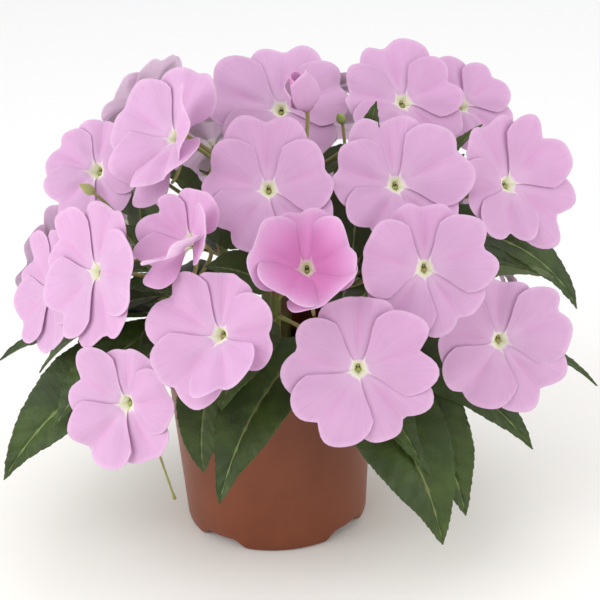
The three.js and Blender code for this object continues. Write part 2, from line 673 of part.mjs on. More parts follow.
// Assembly
const finishes = {
  pot: { color: 0x84492f, roughness: 0.5 },
  soil: { color: 0x2c1d14, roughness: 1.0 },
  leaf: { color: 0x3f6130, roughness: 0.5 },
  petal: { color: 0xe2addf, roughness: 0.6 },
};

const plant = new THREE.Group();

function addPiece(name, solid, finish) {
  const material = new THREE.MeshStandardMaterial({ ...finishes[finish], metalness: 0 });
  const mesh = new THREE.Mesh(geometryOf(solid), material);
  mesh.name = name;
  plant.add(mesh);
}

addPiece('pot', pot(), 'pot');
addPiece('soil', soil(STEMS.map(stemHole)), 'soil');
STEMS.forEach((stem, index) => addPiece(stem[0], leafyStem(index), 'leaf'));
BLOOMS.forEach((row) => addPiece(row[0], bloom(row), 'petal'));
addPiece(OPENING_BUD[0], openingBud(), 'petal');

export default plant;
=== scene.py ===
# Potted New Guinea impatiens: the finished surfaces of the pot, soil, leafy stems, blooms and buds.
# Shapes are worked out in millimetres, +Z up, -Y to the front, and put into meshes in metres.
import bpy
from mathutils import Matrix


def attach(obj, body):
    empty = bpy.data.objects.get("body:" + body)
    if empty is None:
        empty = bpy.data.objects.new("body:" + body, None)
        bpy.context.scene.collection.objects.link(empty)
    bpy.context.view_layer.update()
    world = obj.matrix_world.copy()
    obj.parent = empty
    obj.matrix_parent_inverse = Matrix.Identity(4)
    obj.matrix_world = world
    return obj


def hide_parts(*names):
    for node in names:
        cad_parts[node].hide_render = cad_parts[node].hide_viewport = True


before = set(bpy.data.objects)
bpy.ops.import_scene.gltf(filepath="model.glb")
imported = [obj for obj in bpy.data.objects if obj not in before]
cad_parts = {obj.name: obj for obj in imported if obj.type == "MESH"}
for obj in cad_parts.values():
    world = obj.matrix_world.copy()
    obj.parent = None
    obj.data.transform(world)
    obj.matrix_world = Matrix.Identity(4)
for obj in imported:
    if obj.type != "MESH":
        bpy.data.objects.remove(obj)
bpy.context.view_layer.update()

import math

import bpy
import numpy as np
from mathutils import Matrix

MM = 0.001

# Camera
CAMERA_PLACE = (17.2, -1004.9, 573.5)
CAMERA_CLIMB = 24.0
CAMERA_ROLL = 2.3
CAMERA_LENS = 123.4
CAMERA_SENSOR = 36.0

# Pot
POT_HEIGHT = 102
POT_FOOT_RADIUS = 49.2
POT_FLARE = 0.073
POT_CORNER = 3
POT_WALL = 1.6
POT_FLOOR = 6.5
RIM_RADIUS = 60
RIM_HEIGHT = 13
RIM_LIP = 1.2
NOTCH_HEIGHT = 4.5
NOTCH_DEPTH = 13
NOTCH_HALF_ANGLE = 19
NOTCH_BEARINGS = [-39, 51, 141, 231]
NOTCH_CROWN = 0.5
POT_SIDES = 288

# Soil
SOIL_TOP = 88
SOIL_DOME = 3
SOIL_RINGS = 60
SOIL_SIDES = 160
TOUCH_GAP = 0.3

# Stems: name, bearing from the front towards +X, reach at the root, reach and height at the tip
ROOT_HEIGHT = 64
STEM_BOW = 1.4
STEM_RADIUS = 4.2
STEM_TIP_RADIUS = 2.4
STEMS = [
    ["leafy_stem_01", 0, 4, 10, 198],
    ["leafy_stem_02", 5, 26, 60, 160],
    ["leafy_stem_03", -36, 28, 62, 158],
    ["leafy_stem_04", -76, 28, 66, 165],
    ["leafy_stem_05", 44, 28, 64, 160],
    ["leafy_stem_06", 82, 28, 68, 168],
    ["leafy_stem_07", 124, 28, 64, 158],
    ["leafy_stem_08", 166, 27, 62, 160],
    ["leafy_stem_09", 208, 28, 62, 158],
    ["leafy_stem_10", 248, 28, 66, 160],
]

# Leaf surface: outline, side veins, the teeth along the edge, and where its columns stand
LEAF_FOLD = 18
LEAF_STALK = 0.1
LEAF_BELLY = 0.8
LEAF_BLUNT = 0.9
LEAF_TAPER = 0.15
LEAF_SHEET = 0.5
SIDE_VEINS = 9
VEIN_SWEEP = 2.4
TOOTH_PITCH = 3.4
TOOTH_SIZE = 0.45
TOOTH_STEPS = np.array([0.0, 0.4, 0.8, 0.96])
LEAF_ACROSS = np.array([1, 0.93, 0.8, 0.63, 0.46, 0.3, 0.16, 0.06, 0])

# Leaves: stem, height up it from 0 to 1, tip in mm, bend in degrees, width in mm, twist in degrees
LEAVES = [
    [4, 0.60, [-27, -110, 66], 70, 40, 15],
    [1, 0.80, [-24, -98, 112], 55, 36, 0],
    [4, 0.42, [74, -98, 79], 60, 32, 0],
    [1, 0.98, [-28, -86, 184], 30, 24, 50],
    [2, 0.52, [-36, -72, 63], 105, 30, 0],
    [3, 0.45, [-141, -60, 57], 60, 46, 25],
    [3, 0.62, [-144, -15, 105], 40, 34, 0],
    [4, 0.48, [85, -98, 30], 70, 50, -30],
    [4, 0.58, [98, -85, 39], 70, 46, -30],
    [4, 0.55, [134, -70, 68], 60, 36, -25],
    [5, 0.50, [173, -30, 83], 60, 26, 0],
    [5, 0.90, [162, -25, 126], 100, 36, -25],
    [5, 0.80, [148, -35, 149], 30, 26, 70],
    [5, 0.98, [112, -28, 231], 22, 16, -38],
    [4, 0.98, [59, -33, 247], 15, 30, -30],
    [0, 0.80, [-30, -42, 218], 20, 24, 0],
    [0, 0.88, [70, 18, 204], 40, 34, 0],
    [0, 0.75, [-40, -8, 178], 40, 34, 40],
    [4, 0.95, [86, -36, 168], 40, 30, -30],
    [5, 0.95, [106, 6, 203], 20, 26, -50],
    [3, 0.95, [-62, -34, 208], 20, 26, 30],
]

# Leaves set by rule: height up the stem, degrees aside, reach and height of the tip, bend, width
LEAF_SEED = 7
LEAF_PLACES = {
    "skirt_left": [0.50, -14, 140, 58, 66, 40],
    "skirt_right": [0.58, 14, 132, 84, 50, 36],
    "middle": [0.74, 0, 106, 124, 45, 32],
    "upper_left": [0.90, -20, 90, 158, 30, 28],
    "upper_right": [0.98, 20, 88, 188, 30, 28],
}
LEAVES_BY_RULE = [
    [1, ["upper_right"]],
    [2, ["middle", "upper_left"]],
    [3, ["skirt_right", "middle", "upper_right"]],
    [4, ["upper_left", "upper_right"]],
    [5, ["skirt_right", "upper_right"]],
    [6, ["skirt_left", "skirt_right", "middle", "upper_left", "upper_right"]],
    [7, ["skirt_left", "skirt_right", "middle", "upper_left"]],
    [8, ["skirt_left", "skirt_right", "middle", "upper_left", "upper_right"]],
    [9, ["skirt_left", "skirt_right", "middle", "upper_right"]],
]

# Blooms: name, stem, height up it, throat in mm, turn and climb of the face, roll, span, cup,
# and how far each petal is folded forward: top, upper right, lower right, lower left, upper left
BLOOMS = [
    ["bloom_01", 1, 1.0, [4, -62, 214], 0, 33, 0, 70, 0.10, [0, 0, 0, 0, 0]],
    ["bloom_02", 4, 1.0, [67, -55, 211], 8, 35, 0, 72, 0.10, [0, 0, 0, 0, 0]],
    ["bloom_03", 5, 1.0, [125, -35, 201], 34, 25, 10, 72, 0.10, [0, 0, 0, 0, 0]],
    ["bloom_04", 0, 0.9, [74, -5, 237], 13, 44, 0, 68, 0.10, [0, 0, 0, 0, 0]],
    ["bloom_05", 4, 0.9, [78, -92, 181], 3, 21, 0, 70, 0.10, [0, 0, 0, 0, 15]],
    ["bloom_06", 1, 0.9, [21, -98, 186], -3, 33, 0, 56, 0.40, [0, 0, 0, 0, 0]],
    ["bloom_07", 1, 0.8, [44, -120, 142], 3, 18, 0, 78, 0.08, [0, 0, 0, 0, 0]],
    ["bloom_08", 4, 0.8, [116, -80, 135], 11, 12, 0, 77, 0.08, [0, 0, 0, 0, 0]],
    ["bloom_09", 1, 0.7, [-22, -112, 159], -29, 19, 0, 72, 0.10, [0, 0, 30, 0, 0]],
    ["bloom_10", 2, 0.7, [-71, -95, 116], -31, 10, 0, 68, 0.10, [0, 0, 0, 0, 0]],
    ["bloom_11", 2, 0.9, [-84, -65, 175], -52, 17, 0, 78, 0.10, [0, 0, 0, 0, 0]],
    ["bloom_12", 3, 0.8, [-112, -25, 149], -62, 17, 0, 68, 0.10, [0, 0, 0, 0, 0]],
    ["bloom_13", 2, 1.0, [-35, -85, 197], -43, 29, 0, 58, 0.30, [0, 20, 50, 0, 0]],
    ["bloom_14", 0, 0.85, [-42, -38, 234], -39, 29, 0, 78, 0.10, [0, 38, 38, 0, 0]],
    ["bloom_15", 3, 1.0, [-85, -10, 208], -30, 28, 0, 60, 0.10, [0, 0, 0, 0, 0]],
    ["bloom_16", 0, 0.95, [-60, 18, 236], -130, 30, 0, 60, 0.10, [0, 0, 0, 0, 0]],
    ["bloom_17", 0, 1.0, [11, 0, 234], -8, 42, 0, 74, 0.10, [0, 0, 0, 0, 0]],
    ["bloom_18", 5, 0.95, [107, 25, 224], 37, 40, 0, 62, 0.10, [0, 0, 0, 0, 0]],
    ["bloom_19", 0, 0.92, [-14, 52, 222], 190, 50, 0, 60, 0.10, [0, 0, 0, 0, 0]],
    ["bloom_20", 0, 0.97, [34, 46, 231], 160, 55, 10, 64, 0.10, [0, 0, 0, 0, 0]],
    ["bloom_21", 5, 0.8, [127, 12, 135], 96, 12, -8, 66, 0.08, [0, 0, 0, 0, 0]],
    ["bloom_22", 6, 0.8, [102, 75, 143], 126, 14, 5, 71, 0.10, [0, 0, 0, 0, 0]],
    ["bloom_23", 7, 0.8, [50, 113, 138], 154, 12, -5, 76, 0.08, [0, 0, 0, 0, 0]],
    ["bloom_24", 8, 0.8, [-17, 123, 146], 190, 18, 12, 70, 0.12, [0, 0, 0, 0, 0]],
    ["bloom_25", 8, 0.75, [-80, 95, 138], 220, 14, 0, 76, 0.08, [0, 0, 0, 0, 0]],
    ["bloom_26", 9, 0.8, [-118, 38, 146], 252, 16, -10, 72, 0.10, [0, 0, 0, 0, 0]],
    ["bloom_27", 6, 1.0, [72, 64, 193], 132, 34, 15, 66, 0.10, [0, 0, 0, 0, 0]],
    ["bloom_28", 7, 1.0, [28, 97, 196], 164, 36, -12, 66, 0.14, [0, 0, 0, 0, 0]],
    ["bloom_29", 8, 1.0, [-29, 87, 186], 198, 32, 0, 66, 0.10, [0, 0, 0, 0, 0]],
    ["bloom_30", 8, 0.95, [-78, 65, 196], 230, 36, 8, 66, 0.10, [0, 0, 0, 0, 0]],
    ["bloom_31", 9, 1.0, [-92, 18, 190], 258, 30, 0, 60, 0.12, [0, 0, 0, 0, 0]],
]
# How young, and so how deep a pink, a bloom is, from 0 to 1
YOUNG_BLOOMS = {"bloom_06": 1.0, "bloom_13": 0.25}

# How far each petal reaches beside the usual, in the same order, where a bloom is uneven
PETAL_REACHES = {
    "bloom_01": [1.15, 0.98, 1.0, 1.0, 0.94],
    "bloom_02": [1.08, 1.08, 1.0, 0.92, 0.92],
    "bloom_03": [1.0, 1.12, 1.1, 0.88, 0.84],
    "bloom_04": [1.12, 0.92, 0.95, 0.96, 0.95],
    "bloom_06": [1.15, 1.22, 1.2, 1.2, 1.22],
    "bloom_08": [0.88, 1.0, 1.04, 0.96, 0.84],
    "bloom_09": [0.9, 0.95, 1.0, 1.04, 1.08],
    "bloom_10": [0.92, 0.86, 0.96, 1.04, 1.02],
    "bloom_17": [1.1, 1.0, 0.95, 0.95, 1.05],
}
# Petals of a bowl-shaped young bloom, raised about their feet in degrees, in the same order
RAISED_PETALS = {"bloom_06": [8, 22, 27, 28, 23]}

# Petals, from the top one clockwise: angle, reach, half spread in degrees, and how far in mm the
# petal lies before the cup that all five share, which also tilts it forward by degrees per mm
PETALS = [
    [90, 0.94, 46, -0.9],
    [18, 1.0, 45, 0.45],
    [-54, 1.02, 46, -0.45],
    [-126, 1.02, 46, 0.9],
    [162, 1.0, 45, 0.0],
]
PETAL_TILT = 3.2
PETAL_ROWS = 24
PETAL_COLUMNS = 27
PETAL_THICKNESS = 0.3
PETAL_WIDENING = 5
PETAL_NOTCH = 0.17
TOP_PETAL_NOTCH = 0.1
PETAL_NOTCH_WIDTH = 0.2
PETAL_SHOULDER = 0.36
PETAL_ROUND = 3.0
PETAL_WAIST = 0.85
PETAL_FULL = 0.6

# Eye: where the petals' feet dip together into an upright slit
EYE_RADIUS = 1.3
EYE_DEPTH = 6.5
EYE_WIDTH = 3.0
EYE_SQUEEZE = 0.55
EYE_PALE = 3.2
EYE_RAYS = 4.0

# Throat, spur and stalks
THROAT_SHARE = 0.085
THROAT_DEPTH = 10
THROAT_FRONT = -5.9
THROAT_END_RADIUS = 2.2
PLUG_FOOT = -7.5
PLUG_HEIGHT = 2.2
PLUG_RADIUS = 2.0
COLUMN_FOOT = -5.6
COLUMN_HEIGHT = 2.2
COLUMN_RADIUS = 0.45
SPUR_PATH = [[0, 0, -4], [0, -6, -10], [2, -16, -10], [3, -22, -4]]
SPUR_RADIUS = 1.5
SPUR_TIP_RADIUS = 0.8
STALK_RADIUS = 1.3
STALK_STRAIGHT = 16
STALK_RISE = 4
STALK_REACH = 0.4
STALK_STEPS = 22

# Buds: stem, height up it, middle in mm, turn and climb of the axis, length
SMALL_BUDS = [
    [4, 0.97, [41, -30, 238], -20, 50, 9],
    [4, 0.99, [50, -38, 236], 30, 40, 8],
    [3, 0.97, [-86, -52, 214], -60, 40, 10],
    [6, 0.97, [96, 36, 178], 110, 35, 9],
]
BUD_GIRTH = 0.3
OPENING_BUD = ["bud_opening", 1, 0.98, [22, -40, 256], -25, 62]
OPENING_BUD_LENGTH = 27
OPENING_BUD_RADIUS = 8.6
OPENING_BUD_CORE = 0.9
# Petals wrapped round the opening bud: angle, girth and height as shares of the bud's
BUD_WRAPS = [[165, 1.0, 0.74], [-15, 1.08, 1.0]]

# A spent flower stalk that hangs over the rim
SPENT_STALK_STEM = 3
SPENT_STALK = [[-48, -12, 121], [-74, -38, 112], [-62, -48, 70], [-54, -43, 32]]
SPENT_STALK_RADIUS = 0.9

# Finishes of a leafy stem and of a bloom, in the order in which their faces number them
STEM_FINISHES = ["leaf_top", "leaf_under", "rib", "stem", "stalk", "bud"]
BLOOM_FINISHES = ["petal_face", "petal_back", "column", "stalk", "bud"]

# Petal colours as eight-bit screen values: towards the eye, body, rim (paler, a painted highlight),
# and where young, also painted as shade along the crease
PETAL_FACE_COLOURS = [(210, 170, 205), (208, 162, 202), (215, 174, 209), (215, 134, 191)]
# Backs are paler: partly the undersides' own paler pink, partly painted light that brightens
# undersides lying in shade.
PETAL_BACK_COLOURS = [(234, 210, 229), (236, 202, 230), (238, 212, 233), (222, 152, 204)]

# Eye colours by how far into the eye a point lies, from 0 to 1; cream and green are the eye's own,
# and the dark olive and near black are painted shade in the slit
EYE_COLOURS = [
    (0.2, (238, 230, 230)),
    (0.45, (224, 222, 190)),
    (0.6, (178, 180, 112)),
    (0.76, (60, 62, 30)),
    (1.0, (28, 28, 14)),
]

# Leaf colours: blade, its deeper clouds, veins
LEAF_TOP_COLOURS = [(62, 82, 33), (42, 58, 25), (112, 134, 70)]
LEAF_UNDER_COLOURS = [(112, 130, 92), (94, 112, 78), (150, 162, 118)]

# Studio: half width of the floor in metres, the sky, and each light's name, place and target in
# metres, size in metres and power in watts
FLOOR_HALF_WIDTH = 6.0
SKY_STRENGTH = 0.85
LIGHTS = [
    ["key", (-0.9, -1.2, 1.6), (0, 0, 0.15), 1.2, 9],
    ["fill", (1.3, -0.6, 0.7), (0, 0, 0.15), 1.2, 6],
    ["low", (-1.3, -0.4, 0.5), (0, 0, 0.05), 0.9, 7],
    ["back", (0.2, 0.9, 1.7), (0, 0, 0.15), 1.2, 5],
]


def smooth(x):
    """Zero below 0, one above 1, and an even S between them."""
    x = np.clip(x, 0, 1)
    return x * x * (3 - 2 * x)


def bell(x, width):
    """One at zero, falling away on both sides within about a width."""
    return np.exp(-((x / width) ** 2))


def unit(vectors):
    """Vectors of length one, along the last axis."""
    return vectors / np.maximum(np.linalg.norm(vectors, axis=-1, keepdims=True), 1e-9)


def outward(bearing):
    """The level direction at a bearing, measured from the front (-Y) towards +X."""
    a = math.radians(bearing)
    return np.array([math.sin(a), -math.cos(a), 0.0])


def facing(turn, climb):
    """The direction in which a bloom or bud faces: a bearing, raised by the climb."""
    c = math.radians(climb)
    return outward(turn) * math.cos(c) + np.array([0, 0, math.sin(c)])


def face_frame(turn, climb, roll):
    """Rows x, y and out of a face: x level and turned by the roll, y upward, out of the face."""
    out = facing(turn, climb)
    across = np.array([math.cos(math.radians(turn)), math.sin(math.radians(turn)), 0.0])
    up = np.cross(out, across)
    r = math.radians(roll)
    x = across * math.cos(r) + up * math.sin(r)
    return np.stack([x, np.cross(out, x), out])


def bezier(points, u):
    """A cubic curve through its first and last point, drawn towards the two between them."""
    p0, p1, p2, p3 = np.asarray(points, float)
    u = np.asarray(u)[:, None]
    return (1 - u) ** 3 * p0 + 3 * (1 - u) ** 2 * u * p1 + 3 * (1 - u) * u * u * p2 + u ** 3 * p3


class Piece:
    """Grids of points gathered into one mesh, with a finish, a UV map and three shading values."""

    def __init__(self):
        self.points, self.uvs = [], []
        self.values = {"shade": [], "line": [], "eye": []}
        self.quads, self.quad_finish, self.fans, self.fan_finish = [], [], [], []
        self.count = 0

    def add_points(self, points, uv, values):
        """Keeps the points of a grid, and returns their numbers in the same rows and columns."""
        rows, columns = points.shape[:2]
        self.points.append(points.reshape(-1, 3))
        self.uvs.append(np.broadcast_to(uv, (rows, columns, 2)).reshape(-1, 2))
        for name, kept in self.values.items():
            kept.append(np.broadcast_to(values.get(name, 0.0), (rows, columns)).ravel())
        index = np.arange(rows * columns).reshape(rows, columns) + self.count
        self.count += rows * columns
        return index

    def add_quads(self, quads, finish):
        """Keeps quads, and the finish that they all take."""
        self.quads.append(quads.reshape(-1, 4))
        self.quad_finish.append(np.full(quads.size // 4, finish))

    def cells(self, index):
        """The four corners of each cell of a grid, going round from rows towards columns."""
        return np.stack([index[:-1, :-1], index[1:, :-1], index[1:, 1:], index[:-1, 1:]], axis=-1)

    def sheet(self, front, thickness, uv, finishes, **values):
        """A thin closed blade: a front grid whose rows crossed with its columns face forward,
        the same grid moved back along its normals, and a rim of quads that joins their edges."""
        normal = unit(np.cross(np.gradient(front, axis=0), np.gradient(front, axis=1)))
        top = self.add_points(front, uv, values)
        under = self.add_points(front - normal * thickness, uv, values)
        quads = self.cells(top)
        self.add_quads(quads, finishes[0])
        self.add_quads(self.cells(under)[..., ::-1], finishes[1])
        edge = np.concatenate([top[:, 0], top[-1, 1:], top[-2::-1, -1], top[0, -2:0:-1]])
        after = np.roll(edge, -1)
        step = under[0, 0] - top[0, 0]
        self.add_quads(np.stack([after, edge, edge + step, after + step], axis=-1), finishes[0])

    def turned(self, rings, uv, finish, **values):
        """A closed skin of rings, each going round anticlockwise seen from the last ring, with
        the ends drawn in to the middle of the first and last ring."""
        index = self.add_points(rings, uv, values)
        around = np.concatenate([index, index[:, :1]], axis=1)
        cells = self.cells(around)[..., ::-1]
        self.add_quads(cells, finish)
        for ring, flip in ((0, True), (-1, False)):
            end = {name: np.mean(np.atleast_2d(value)[ring]) for name, value in values.items()}
            end_uv = np.broadcast_to(uv, (*rings.shape[:2], 2))[ring].mean(axis=0)
            pole = self.add_points(rings[ring].mean(axis=0)[None, None], end_uv, end)
            a, b = around[ring, :-1], around[ring, 1:]
            if flip:
                a, b = b, a
            self.fans.append(np.stack([a, b, np.full_like(a, pole[0, 0])], axis=-1))
            self.fan_finish.append(np.full(len(a), finish))

    def tube(self, path, radius, finish, sides=8, **values):
        """A round tube: each ring stands square to the path at one of its points."""
        path = np.asarray(path, float)
        along = unit(np.gradient(path, axis=0))
        bow = np.cross(path[len(path) // 2] - path[0], path[-1] - path[0])
        if np.linalg.norm(bow) < 1e-3:
            bow = np.cross(along[0], [0.3, 0.5, 0.8])
        across = unit(bow - along * (along @ bow)[:, None])
        other = np.cross(along, across)
        a = np.linspace(0, 2 * np.pi, sides, endpoint=False)[None, :, None]
        spoke = across[:, None] * np.cos(a) + other[:, None] * np.sin(a)
        rings = path[:, None] + spoke * np.broadcast_to(radius, len(path))[:, None, None]
        v = np.broadcast_to(np.linspace(0, 1, len(path))[:, None], rings.shape[:2])
        u = np.broadcast_to(0.5 - 0.5 * np.cos(a[..., 0]), rings.shape[:2])
        self.turned(rings, np.stack([u, v], axis=-1), finish, **values)

    def build(self, name, materials):
        """Puts everything gathered into one mesh object, in metres, at the origin."""
        mesh = bpy.data.meshes.new(name)
        points = np.concatenate(self.points) * MM
        quads = np.concatenate(self.quads)
        fans = np.concatenate(self.fans) if self.fans else np.zeros((0, 3), int)
        corners = np.concatenate([quads.ravel(), fans.ravel()]).astype(np.int32)
        sizes = np.concatenate([np.full(len(quads), 4), np.full(len(fans), 3)])
        starts = np.concatenate([[0], np.cumsum(sizes)[:-1]]).astype(np.int32)
        mesh.vertices.add(len(points))
        mesh.vertices.foreach_set("co", points.astype(np.float32).ravel())
        mesh.loops.add(len(corners))
        mesh.loops.foreach_set("vertex_index", corners)
        mesh.polygons.add(len(sizes))
        mesh.polygons.foreach_set("loop_start", starts)
        finish = np.concatenate(self.quad_finish + self.fan_finish).astype(np.int32)
        mesh.polygons.foreach_set("material_index", finish)
        mesh.polygons.foreach_set("use_smooth", np.ones(len(sizes), bool))
        mesh.update(calc_edges=True)
        uv = mesh.uv_layers.new(name="UVMap")
        uv.data.foreach_set("uv", np.concatenate(self.uvs)[corners].astype(np.float32).ravel())
        for title, kept in self.values.items():
            attribute = mesh.attributes.new(title, "FLOAT", "POINT")
            attribute.data.foreach_set("value", np.concatenate(kept).astype(np.float32))
        for material in materials:
            mesh.materials.append(material)
        obj = bpy.data.objects.new(name, mesh)
        bpy.context.scene.collection.objects.link(obj)
        return obj


def grid_uv(rows, columns):
    """U across the columns and V along the rows, each from its own values."""
    return np.stack(np.broadcast_arrays(columns[None, :], rows[:, None]), axis=-1)


# Finishes
def srgb(red, green, blue):
    """A linear colour from the eight-bit values of a screen colour."""
    c = np.array([red, green, blue]) / 255
    linear = np.where(c <= 0.04045, c / 12.92, ((c + 0.055) / 1.055) ** 2.4)
    return (*[float(x) for x in linear], 1.0)


class Finish:
    """A material of nodes round one main shader."""

    def __init__(self, name, roughness, **constants):
        self.material = bpy.data.materials.new(name)
        self.material.use_nodes = True
        self.tree = self.material.node_tree
        self.shader = self.tree.nodes["Principled BSDF"]
        self.shader.inputs["Roughness"].default_value = roughness
        for socket, value in constants.items():
            self.shader.inputs[socket.replace("_", " ")].default_value = value

    def feed(self, socket, value):
        """Links a value to a socket, or sets it there if it is a constant."""
        if isinstance(value, bpy.types.NodeSocket):
            self.tree.links.new(value, socket)
        else:
            socket.default_value = value

    def node(self, kind, **inputs):
        """A node with its inputs set or linked, each named by its socket."""
        made = self.tree.nodes.new(kind)
        for name, value in inputs.items():
            self.feed(made.inputs[name.replace("_", " ")], value)
        return made

    def value(self, name):
        """One of the shading values that the mesh carries."""
        made = self.tree.nodes.new("ShaderNodeAttribute")
        made.attribute_name = name
        return made.outputs["Fac"]

    def coordinates(self, output="Object", scale=(1, 1, 1)):
        """Object or UV coordinates, stretched."""
        source = self.tree.nodes.new("ShaderNodeTexCoord").outputs[output]
        return self.node("ShaderNodeMapping", Vector=source, Scale=scale).outputs["Vector"]

    def noise(self, vector, scale, detail=2.0, roughness=0.5):
        """Cloudy noise between 0 and 1."""
        made = self.node("ShaderNodeTexNoise", Vector=vector, Scale=scale, Detail=detail,
                         Roughness=roughness)
        return made.outputs["Fac"]

    def math(self, operation, *values):
        """Two or three values joined by an operation."""
        made = self.tree.nodes.new("ShaderNodeMath")
        made.operation = operation
        for socket, value in zip(made.inputs, values):
            self.feed(socket, value)
        return made.outputs[0]

    def ramp(self, factor, stops):
        """A colour that changes with a factor, through the stops given."""
        made = self.tree.nodes.new("ShaderNodeValToRGB")
        self.tree.links.new(factor, made.inputs[0])
        ramp = made.color_ramp
        ramp.interpolation = "EASE"
        while len(ramp.elements) < len(stops):
            ramp.elements.new(0.5)
        for element, (place, colour) in zip(ramp.elements, stops):
            element.position = place
            element.color = colour
        return made.outputs["Color"]

    def blend(self, factor, a, b, mode="MIX"):
        """Two colours mixed by a factor."""
        made = self.tree.nodes.new("ShaderNodeMix")
        made.data_type = "RGBA"
        made.blend_type = mode
        for place, value in ((0, factor), (6, a), (7, b)):
            self.feed(made.inputs[place], value)
        return made.outputs[2]

    def colour(self, socket):
        """Gives the shader its colour."""
        self.tree.links.new(socket, self.shader.inputs["Base Color"])

    def bump(self, height, distance, strength=1.0):
        """Gives the shader a relief of a height, in metres."""
        made = self.node("ShaderNodeBump", Height=height, Distance=distance, Strength=strength)
        self.tree.links.new(made.outputs["Normal"], self.shader.inputs["Normal"])

    def rough(self, socket):
        """Gives the shader its roughness."""
        self.tree.links.new(socket, self.shader.inputs["Roughness"])


def grey(level):
    """A neutral colour."""
    return (level, level, level, 1.0)


def petal_finish(name, softness, colours):
    """Petal: the body colour, paler at the rim as a painted highlight, with fine fanned veins, a
    deeper pink where the mesh says that it is young and as painted shade along the crease, and at the
    eye cream, then green, then dark olive as painted shade in the slit."""
    inner, body, edge, young = [srgb(*colour) for colour in colours]
    f = Finish(name, 0.6, Subsurface_Weight=softness, Subsurface_Scale=0.003,
               Subsurface_Radius=(1.0, 0.7, 0.95), Sheen_Weight=0.1, Sheen_Roughness=0.5,
               Specular_IOR_Level=0.25)
    reach = f.node("ShaderNodeSeparateXYZ", Vector=f.coordinates("UV")).outputs["Y"]
    # The paler rim stop is a painted highlight where light catches the petal's edge.
    plain = f.ramp(reach, [(0.15, inner), (0.4, body), (0.9, body), (1.0, edge)])
    veins = f.noise(f.coordinates("UV", (40, 1.4, 1)), 1.0, 2.0)
    veined = f.blend(0.3, plain, f.ramp(veins, [(0.3, grey(0.82)), (0.7, grey(1.0))]), "MULTIPLY")
    cloud = f.noise(f.coordinates(), 55, 2.0)
    clouded = f.blend(0.35, veined, f.ramp(cloud, [(0.3, grey(0.86)), (0.7, grey(1.0))]), "MULTIPLY")
    # Painted shade: the young pink laid along the crease down each petal's middle, by the line value.
    crease_shaded = f.blend(f.math("MULTIPLY", f.value("line"), 0.4), clouded, young)
    toned = f.blend(f.value("shade"), crease_shaded, young)
    eye = f.value("eye")
    # Eye colours: the cream and green are the eye's own, the dark olive and near black are painted
    # shade in the slit.
    throat = f.ramp(eye, [(depth, srgb(*colour)) for depth, colour in EYE_COLOURS])
    f.colour(f.blend(f.ramp(eye, [(0.0, grey(0.0)), (0.42, grey(1.0))]), toned, throat))
    grain = f.math("ADD", veins, f.math("MULTIPLY", f.noise(f.coordinates(), 1800, 1.0), 0.25))
    f.bump(grain, 0.00012, 0.4)
    return f.material


def column_finish():
    """The small waxy column in the throat: cream with olive flecks."""
    f = Finish("bloom_column", 0.5, Subsurface_Weight=0.2, Subsurface_Scale=0.002)
    fleck = f.noise(f.coordinates(), 900, 2.0)
    f.colour(f.ramp(fleck, [(0.35, srgb(120, 122, 64)), (0.55, srgb(226, 220, 164))]))
    return f.material


def leaf_finish(name, roughness, colours):
    """Leaf: two greens in soft clouds, paler along the veins, with a fine cell grain."""
    blade, deep, vein = [srgb(*colour) for colour in colours]
    f = Finish(name, roughness, Subsurface_Weight=0.06, Subsurface_Scale=0.002,
               Specular_IOR_Level=0.3)
    cloud = f.noise(f.coordinates(), 45, 4.0, 0.6)
    base = f.blend(f.ramp(cloud, [(0.35, grey(0.0)), (0.65, grey(1.0))]), blade, deep)
    toned = f.blend(f.math("MULTIPLY", f.value("shade"), 0.5), base, vein)
    line = f.ramp(f.value("line"), [(0.3, grey(0.0)), (0.95, grey(1.0))])
    f.colour(f.blend(line, toned, vein))
    cells = f.node("ShaderNodeTexVoronoi", Vector=f.coordinates(), Scale=900.0).outputs["Distance"]
    f.bump(f.math("ADD", cells, f.noise(f.coordinates(), 260, 3.0)), 0.00025, 0.55)
    return f.material


def stem_finish(name, green, blush, share):
    """Fleshy stem: green with a reddish blush in streaks along it."""
    f = Finish(name, 0.4, Subsurface_Weight=0.15, Subsurface_Scale=0.003)
    streak = f.noise(f.coordinates("Object", (220, 220, 40)), 1.0, 3.0)
    f.colour(f.blend(f.ramp(streak, [(0.35, grey(0.0)), (0.75, grey(share))]), green, blush))
    f.bump(f.noise(f.coordinates("Object", (700, 700, 120)), 1.0, 2.0), 0.0002, 0.4)
    return f.material


def pot_finish():
    """Thin moulded plastic: brick brown, a little paler and duller in worn clouds."""
    f = Finish("pot_plastic", 0.42, Specular_IOR_Level=0.35, Coat_Weight=0.04, Coat_Roughness=0.35)
    cloud = f.noise(f.coordinates(), 30, 5.0, 0.6)
    f.colour(f.ramp(cloud, [(0.3, srgb(113, 56, 30)), (0.7, srgb(124, 64, 37))]))
    f.rough(f.math("MULTIPLY_ADD", cloud, 0.12, 0.36))
    grain = f.noise(f.coordinates(), 1400, 3.0)
    drawn = f.noise(f.coordinates("Object", (60, 60, 8)), 1.0, 2.0)
    f.bump(f.math("ADD", grain, drawn), 0.0002, 0.3)
    return f.material


